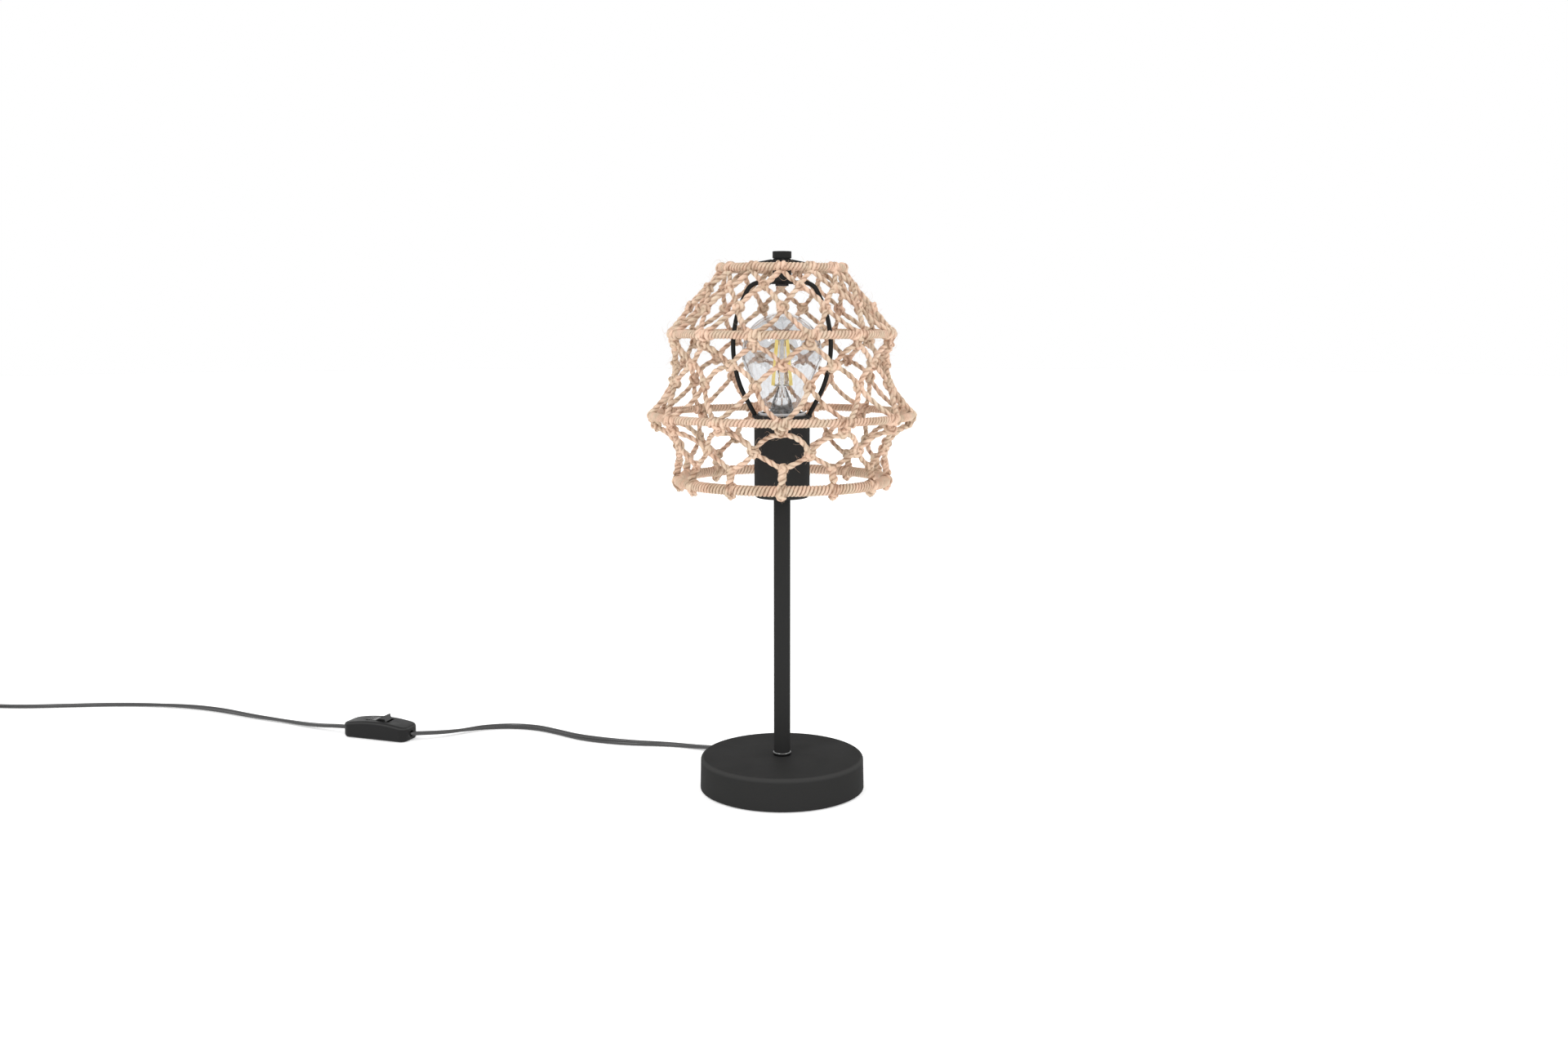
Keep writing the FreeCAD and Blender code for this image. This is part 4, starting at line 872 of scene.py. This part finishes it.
def wound_tree():
    """Strands wound side by side round a wire hoop that lies level."""
    tree, given, out = socketed(
        "wound_jute", Hoop_Radius=0.1, Height=0.3, Lay_Radius=0.0022, Yarn_Radius=0.001,
        Turns=100, Strands=3, Fibres=16000.0, Fibre_Length=0.006, Seed=1)
    count = times(tree, given["Turns"], float(points_per_turn))
    copies = add(tree, "GeometryNodeDuplicateElements", {
        "Geometry": curve_ring(tree, count), "Amount": given["Strands"]}, domain="SPLINE").outputs
    share = add(tree, "GeometryNodeSplineParameter").outputs["Factor"]
    start = maths(tree, "DIVIDE", copies[1], given["Strands"])
    turn = times(tree, plus(tree, times(tree, share, given["Turns"]), start), math.tau)
    azimuth = times(tree, share, math.tau)
    strand_seed = plus(tree, times(tree, copies[1], 5.0), given["Seed"])
    uneven = noise(tree, polar(tree, 22.0, azimuth, strand_seed), 4.0, 3.0)
    wander = less(tree, uneven, 0.5)
    lay = times(tree, given["Lay_Radius"], uneven_by(tree, wander, 0.22))
    slip = times(tree, wander, winding_slip)
    pushed = plus(tree, azimuth, maths(tree, "DIVIDE", slip, given["Hoop_Radius"]))
    reach = plus(tree, given["Hoop_Radius"], times(tree, lay, maths(tree, "COSINE", turn)))
    height = plus(tree, given["Height"], times(tree, lay, maths(tree, "SINE", turn)))
    core = polar(tree, given["Hoop_Radius"], pushed, given["Height"])
    helix = stored(tree, copies[0], "core", core, "FLOAT_VECTOR")
    helix = add(tree, "GeometryNodeSetPosition", {
        "Geometry": helix, "Position": polar(tree, reach, pushed, height)}).outputs[0]
    run = times(tree, share, times(tree, given["Turns"], math.tau * lay_reach))
    thick = times(tree, given["Yarn_Radius"], uneven_by(tree, wander, -0.5))
    crest = plus(tree, given["Lay_Radius"], given["Yarn_Radius"])
    groove = plus(tree, given["Lay_Radius"], times(tree, given["Yarn_Radius"], 0.45))
    finish_yarn(tree, given, out, helix, uneven, run, 8, thick, groove, crest)
    return tree


def hoop_size(index):
    """Radius and height of a hoop's wire, and the radius of its wound section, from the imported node."""
    low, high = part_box("hoop_wrap_%d" % index)
    section = (high[2] - low[2]) / 2
    radius = (high[0] - low[0]) / 2 - section
    return radius, (high[2] + low[2]) / 2, section + (lowest_winding_extra if index == 4 else 0.0)


winding = wound_tree()
hoops = [hoop_size(index) for index in (1, 2, 3, 4)]
for index, (radius, height, section) in enumerate(hoops, 1):
    name = "wound_hoop_%d" % index
    turns = round(math.tau * radius / (wound_pitch * wound_strands))
    wound = formed(
        new_object(name, bpy.data.meshes.new(name)), winding, Hoop_Radius=radius, Height=height,
        Lay_Radius=section - wound_yarn_radius, Yarn_Radius=wound_yarn_radius,
        Turns=turns, Strands=wound_strands, Seed=index)
    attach(wound, "shade")
    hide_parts("hoop_wrap_%d" % index)


# Knotted net.
# Thirteen columns of jute yarn, knotted by hand in three bands between the hoops, no two of them quite alike.
# Each band hangs from loops round its upper hoop, and its last strands are wound once round the lower one.
net_columns = 13
strand_radius = 0.0015
knot_radius = 0.0050
small_knot_radius = 0.0042
end_knot_radius = 0.0036
knot_points = 20
# rows of knots between two hoops: the share of the drop and of the change in radius
upper_knots = ((0.304, 0.304), (0.615, 0.608))
middle_knots = ((0.125, -0.05), (0.355, -0.27), (0.587, -0.02))
lower_knots = ((0.125, 0.12), (0.458, 0.936), (0.70, 1.096))
half_column = 180.0 / net_columns
knot_astray = 0.0013
upper_knot_astray = 0.0012
pair_gap = 0.0010             # half of the space between two strands side by side
pulled_in = -0.35             # how tight yarn bites into a winding, as a share of its radius
landing_aside = 0.0034        # from a hoop's hitch to the strands that land beside it
chance = random.Random(13)


def scaled(tree, vector, factor):
    return add(tree, "ShaderNodeVectorMath", {0: vector, "Scale": factor}, operation="SCALE").outputs[0]


def yarn_tree():
    """Plies twisted together along every line of a net, with loose fibres."""
    tree, given, out = socketed(
        "twisted_jute", Ply_Radius=0.00145, Ply_Offset=0.00055, Plies=2, Twist_Pitch=0.0120,
        Step=0.00115, Fibres=25000.0, Fibre_Length=0.0080, Seed=1)
    lines = add(tree, "GeometryNodeMeshToCurve", {"Mesh": given["Geometry"]}).outputs[0]
    soft = add(tree, "GeometryNodeCurveSplineType", {"Curve": lines}, spline_type="CATMULL_ROM").outputs[0]
    even = add(tree, "GeometryNodeResampleCurve", {
        "Curve": soft, "Length": given["Step"]}, mode="LENGTH").outputs[0]
    copies = add(tree, "GeometryNodeDuplicateElements", {
        "Geometry": even, "Amount": given["Plies"]}, domain="SPLINE").outputs
    run = add(tree, "GeometryNodeSplineParameter").outputs["Length"]
    place = add(tree, "GeometryNodeInputPosition").outputs[0]
    uneven = noise(tree, place, 160.0, 2.0)
    wander = less(tree, uneven, 0.5)
    start = times(tree, maths(tree, "DIVIDE", copies[1], given["Plies"]), math.tau)
    turn = plus(tree, times(tree, maths(tree, "DIVIDE", run, given["Twist_Pitch"]), math.tau), start)
    across = add(tree, "GeometryNodeInputNormal").outputs[0]
    ahead = add(tree, "GeometryNodeInputTangent").outputs[0]
    other = vectors(tree, "CROSS_PRODUCT", ahead, across)
    out_of_line = vectors(tree, "ADD", scaled(tree, across, maths(tree, "COSINE", turn)),
                          scaled(tree, other, maths(tree, "SINE", turn)))
    moved = scaled(tree, out_of_line, times(tree, given["Ply_Offset"], uneven_by(tree, wander, 0.8)))
    plies = stored(tree, copies[0], "core", place, "FLOAT_VECTOR")
    plies = add(tree, "GeometryNodeSetPosition", {"Geometry": plies, "Offset": moved}).outputs[0]
    thick = times(tree, given["Ply_Radius"], uneven_by(tree, wander, 0.7))
    crest = plus(tree, given["Ply_Offset"], given["Ply_Radius"])
    groove = times(tree, crest, 0.60)
    finish_yarn(tree, given, out, plies, uneven, run, 7, thick, groove, times(tree, crest, 0.97))
    return tree


def outward(azimuth):
    return Vector((math.cos(math.radians(azimuth)), math.sin(math.radians(azimuth)), 0.0))


def near(point, amount=0.0007):
    """The point, a little out of place, as hand work is."""
    return point + Vector([chance.uniform(-amount, amount) for _ in range(3)])


def on_net(top, shares, azimuth):
    """Place of a knot between two hoops."""
    drop, widen = shares
    radius = hoops[top][0] + (hoops[top + 1][0] - hoops[top][0]) * widen
    return outward(azimuth) * radius + UP * (hoops[top][1] + (hoops[top + 1][1] - hoops[top][1]) * drop)


def column(i):
    """Azimuth of a column of the net. The first one faces the front."""
    return 360 / net_columns * i - 90


def knot_row(top, shares, shift, astray):
    """Places of a row of knots, one for each column, some columns further on."""
    return [near(on_net(top, shares, column(i + shift)), astray) for i in range(net_columns)]


def on_winding(index, lift=0.8):
    """From the middle of a hoop's section to a strand on its winding, some of its radius up."""
    return hoops[index][2] + strand_radius * lift


def round_hoop(index, azimuth, aside, angle, reach):
    """Point beside a hoop's section: angle 0 is outside and 90 on top."""
    radius, height, section = hoops[index]
    out = outward(azimuth + math.degrees(aside / radius))
    return out * (radius + math.cos(math.radians(angle)) * reach) + UP * (
        height + math.sin(math.radians(angle)) * reach)


def lying_strand(a, b, bow, bulge=0.0):
    """Points from a to b that bow upwards in the net's surface, and out of it by the bulge."""
    out = Vector((a.x + b.x, a.y + b.y, 0.0)).normalized()
    aside = (b - a).cross(out).normalized()
    if aside.z < 0:
        aside = -aside
    length = (b - a).length
    points = []
    for share in (0.0, 0.25, 0.5, 0.75, 1.0):
        lift = 4 * share * (1 - share)
        points.append(a.lerp(b, share) + aside * (bow * lift * length) + out * (bulge * lift))
    return [points[0]] + [near(p, 0.0003) for p in points[1:-1]] + [points[-1]]


def knot_turns(centre, size, azimuth):
    """Overhand knot pulled tight into a lump, each one turned a little differently."""
    reach = size - strand_radius
    out = outward(azimuth)
    across = UP.cross(out)
    tilt = Euler((
        chance.uniform(-0.5, 0.5), chance.uniform(-0.5, 0.5), chance.uniform(0.0, math.tau))).to_matrix()
    points = []
    for i in range(knot_points):
        t = math.tau * i / knot_points
        ring = reach * (0.58 + 0.42 * math.cos(3 * t))
        lift = reach * 0.42 * math.sin(3 * t)
        place = tilt @ Vector((ring * math.cos(2 * t), ring * math.sin(2 * t), lift))
        points.append(centre + across * place.x + UP * place.y + out * place.z)
    return points


def hoop_hitch(index, azimuth):
    """Loop of doubled yarn pulled tight round a hoop: two turns with a bar across the underside."""
    reach = on_winding(index, pulled_in)
    apart = strand_radius * chance.uniform(0.9, 1.1)
    low = -75
    first = [round_hoop(index, azimuth, -apart, angle, reach) for angle in range(low, 271, 45)]
    bar = [round_hoop(index, azimuth, aside * apart, -62 + chance.uniform(-8, 8), reach + strand_radius * 0.6)
           for aside in (-1.2, 0.0, 1.2)]
    second = [round_hoop(index, azimuth, apart, angle, reach) for angle in range(270, low - 1, -45)]
    return first + bar + second


def landing_strand(knot, index, azimuth, side, bow):
    """Strand from a knot to a hoop, with its last turn from the outside over the front and under."""
    reach = on_winding(index, pulled_in)
    last = [round_hoop(index, azimuth, side * (landing_aside + 0.0006 * i), angle, reach)
            for i, angle in enumerate((75, 25, -25, -75, -125, -180, -235))]
    return lying_strand(knot, last[0], bow)[:-1] + last


def hanging_pair(index, azimuth, knot):
    """Two strands side by side from under a hoop to a knot."""
    return [lying_strand(round_hoop(index, azimuth, aside, -80, on_winding(index)), knot, 0.0)
            for aside in (-pair_gap, pair_gap)]


def net_of(name, lines, loops, seed):
    """One band as a piece: open lines and closed loops of yarn."""
    points, edges = [], []
    for index, line in enumerate(lines + loops):
        start = len(points)
        points += line
        edges += [(start + i, start + i + 1) for i in range(len(line) - 1)]
        if index >= len(lines):
            edges.append((len(points) - 1, start))
    mesh = bpy.data.meshes.new(name)
    mesh.from_pydata(points, edges, [])
    return formed(new_object(name, mesh), twisting, Seed=seed)


twisting = yarn_tree()


def upper_net():
    lines, loops = [], []
    high, low = upper_knots
    highs = knot_row(0, high, 0.5, upper_knot_astray)
    lows = knot_row(0, low, 0.0, upper_knot_astray)
    for i in range(net_columns):
        mid = column(i)
        lines.append(hoop_hitch(0, mid + chance.uniform(-1.5, 1.5)))
        loops += [
            knot_turns(highs[i], small_knot_radius, mid + half_column),
            knot_turns(lows[i], knot_radius, mid)]
        for side, knot in ((1, highs[i]), (-1, highs[i - 1])):
            start = round_hoop(0, mid, side * 0.0012, -60, on_winding(0))
            lines += [
                lying_strand(start, knot, chance.uniform(-0.04, 0.08)),
                lying_strand(knot, lows[i], chance.uniform(-0.02, 0.1)),
                landing_strand(lows[i], 1, mid + side * half_column, -side, chance.uniform(-0.09, 0.03))]
    return net_of("net_band_upper", lines, loops, 11)


def middle_net():
    lines, loops = [], []
    high, centre, low = middle_knots
    highs = knot_row(1, high, 0.5, knot_astray)
    centres = knot_row(1, centre, 0.0, knot_astray)
    lows = knot_row(1, low, 0.5, knot_astray)
    for i in range(net_columns):
        mid = column(i)
        lines.append(hoop_hitch(1, mid + half_column))
        loops += [
            knot_turns(highs[i], knot_radius, mid + half_column),
            knot_turns(centres[i], knot_radius, mid),
            knot_turns(lows[i], knot_radius, mid + half_column)]
        lines += hanging_pair(1, mid + half_column, highs[i])
        for side, up, down in ((1, highs[i], lows[i]), (-1, highs[i - 1], lows[i - 1])):
            lines += [
                lying_strand(up, centres[i], chance.uniform(0.0, 0.1)),
                lying_strand(centres[i], down, chance.uniform(0.06, 0.14)),
                landing_strand(down, 2, mid, side, chance.uniform(-0.1, -0.02))]
    return net_of("net_band_middle", lines, loops, 12)


def twined_pair(start, end, azimuth):
    """Two strands twisted once round each other."""
    out = outward(azimuth)
    along = UP.cross(out)
    pair = []
    for phase in (0.0, math.pi):
        twine = []
        for step in range(7):
            share = step / 6
            angle = phase + share * math.tau * 0.9
            twine.append(start.lerp(end, share) + along * (math.cos(angle) * strand_radius)
                         + out * (math.sin(angle) * strand_radius))
        pair.append(twine)
    return pair


def lower_net():
    lines, loops = [], []
    high, centre, low = lower_knots
    highs = knot_row(2, high, 0.0, knot_astray)
    centres = knot_row(2, centre, 0.5, knot_astray)
    lows = knot_row(2, low, 0.0, knot_astray)
    for i in range(net_columns):
        mid = column(i)
        lines += [hoop_hitch(2, mid), hoop_hitch(3, mid)]
        below = round_hoop(3, mid, 0.0, -90, hoops[3][2] + 0.0008)
        loops += [
            knot_turns(highs[i], knot_radius, mid),
            knot_turns(centres[i], knot_radius, mid + half_column),
            knot_turns(lows[i], small_knot_radius, mid),
            knot_turns(near(below), end_knot_radius, mid)]
        lines += hanging_pair(2, mid, highs[i])
        under = highs[i] - UP * (knot_radius * 0.45)
        for knot in (centres[i], centres[i - 1]):
            lines += [
                lying_strand(under, knot, chance.uniform(0.11, 0.15)),
                lying_strand(knot, lows[i], chance.uniform(-0.08, 0.02))]
        lines += twined_pair(lows[i], round_hoop(3, mid, 0.0, 75, on_winding(3)), mid)
    return net_of("net_band_lower", lines, loops, 13)


for band, node in ((upper_net(), "net_upper"), (middle_net(), "net_middle"), (lower_net(), "net_lower")):
    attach(band, "shade")
    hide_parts(node)
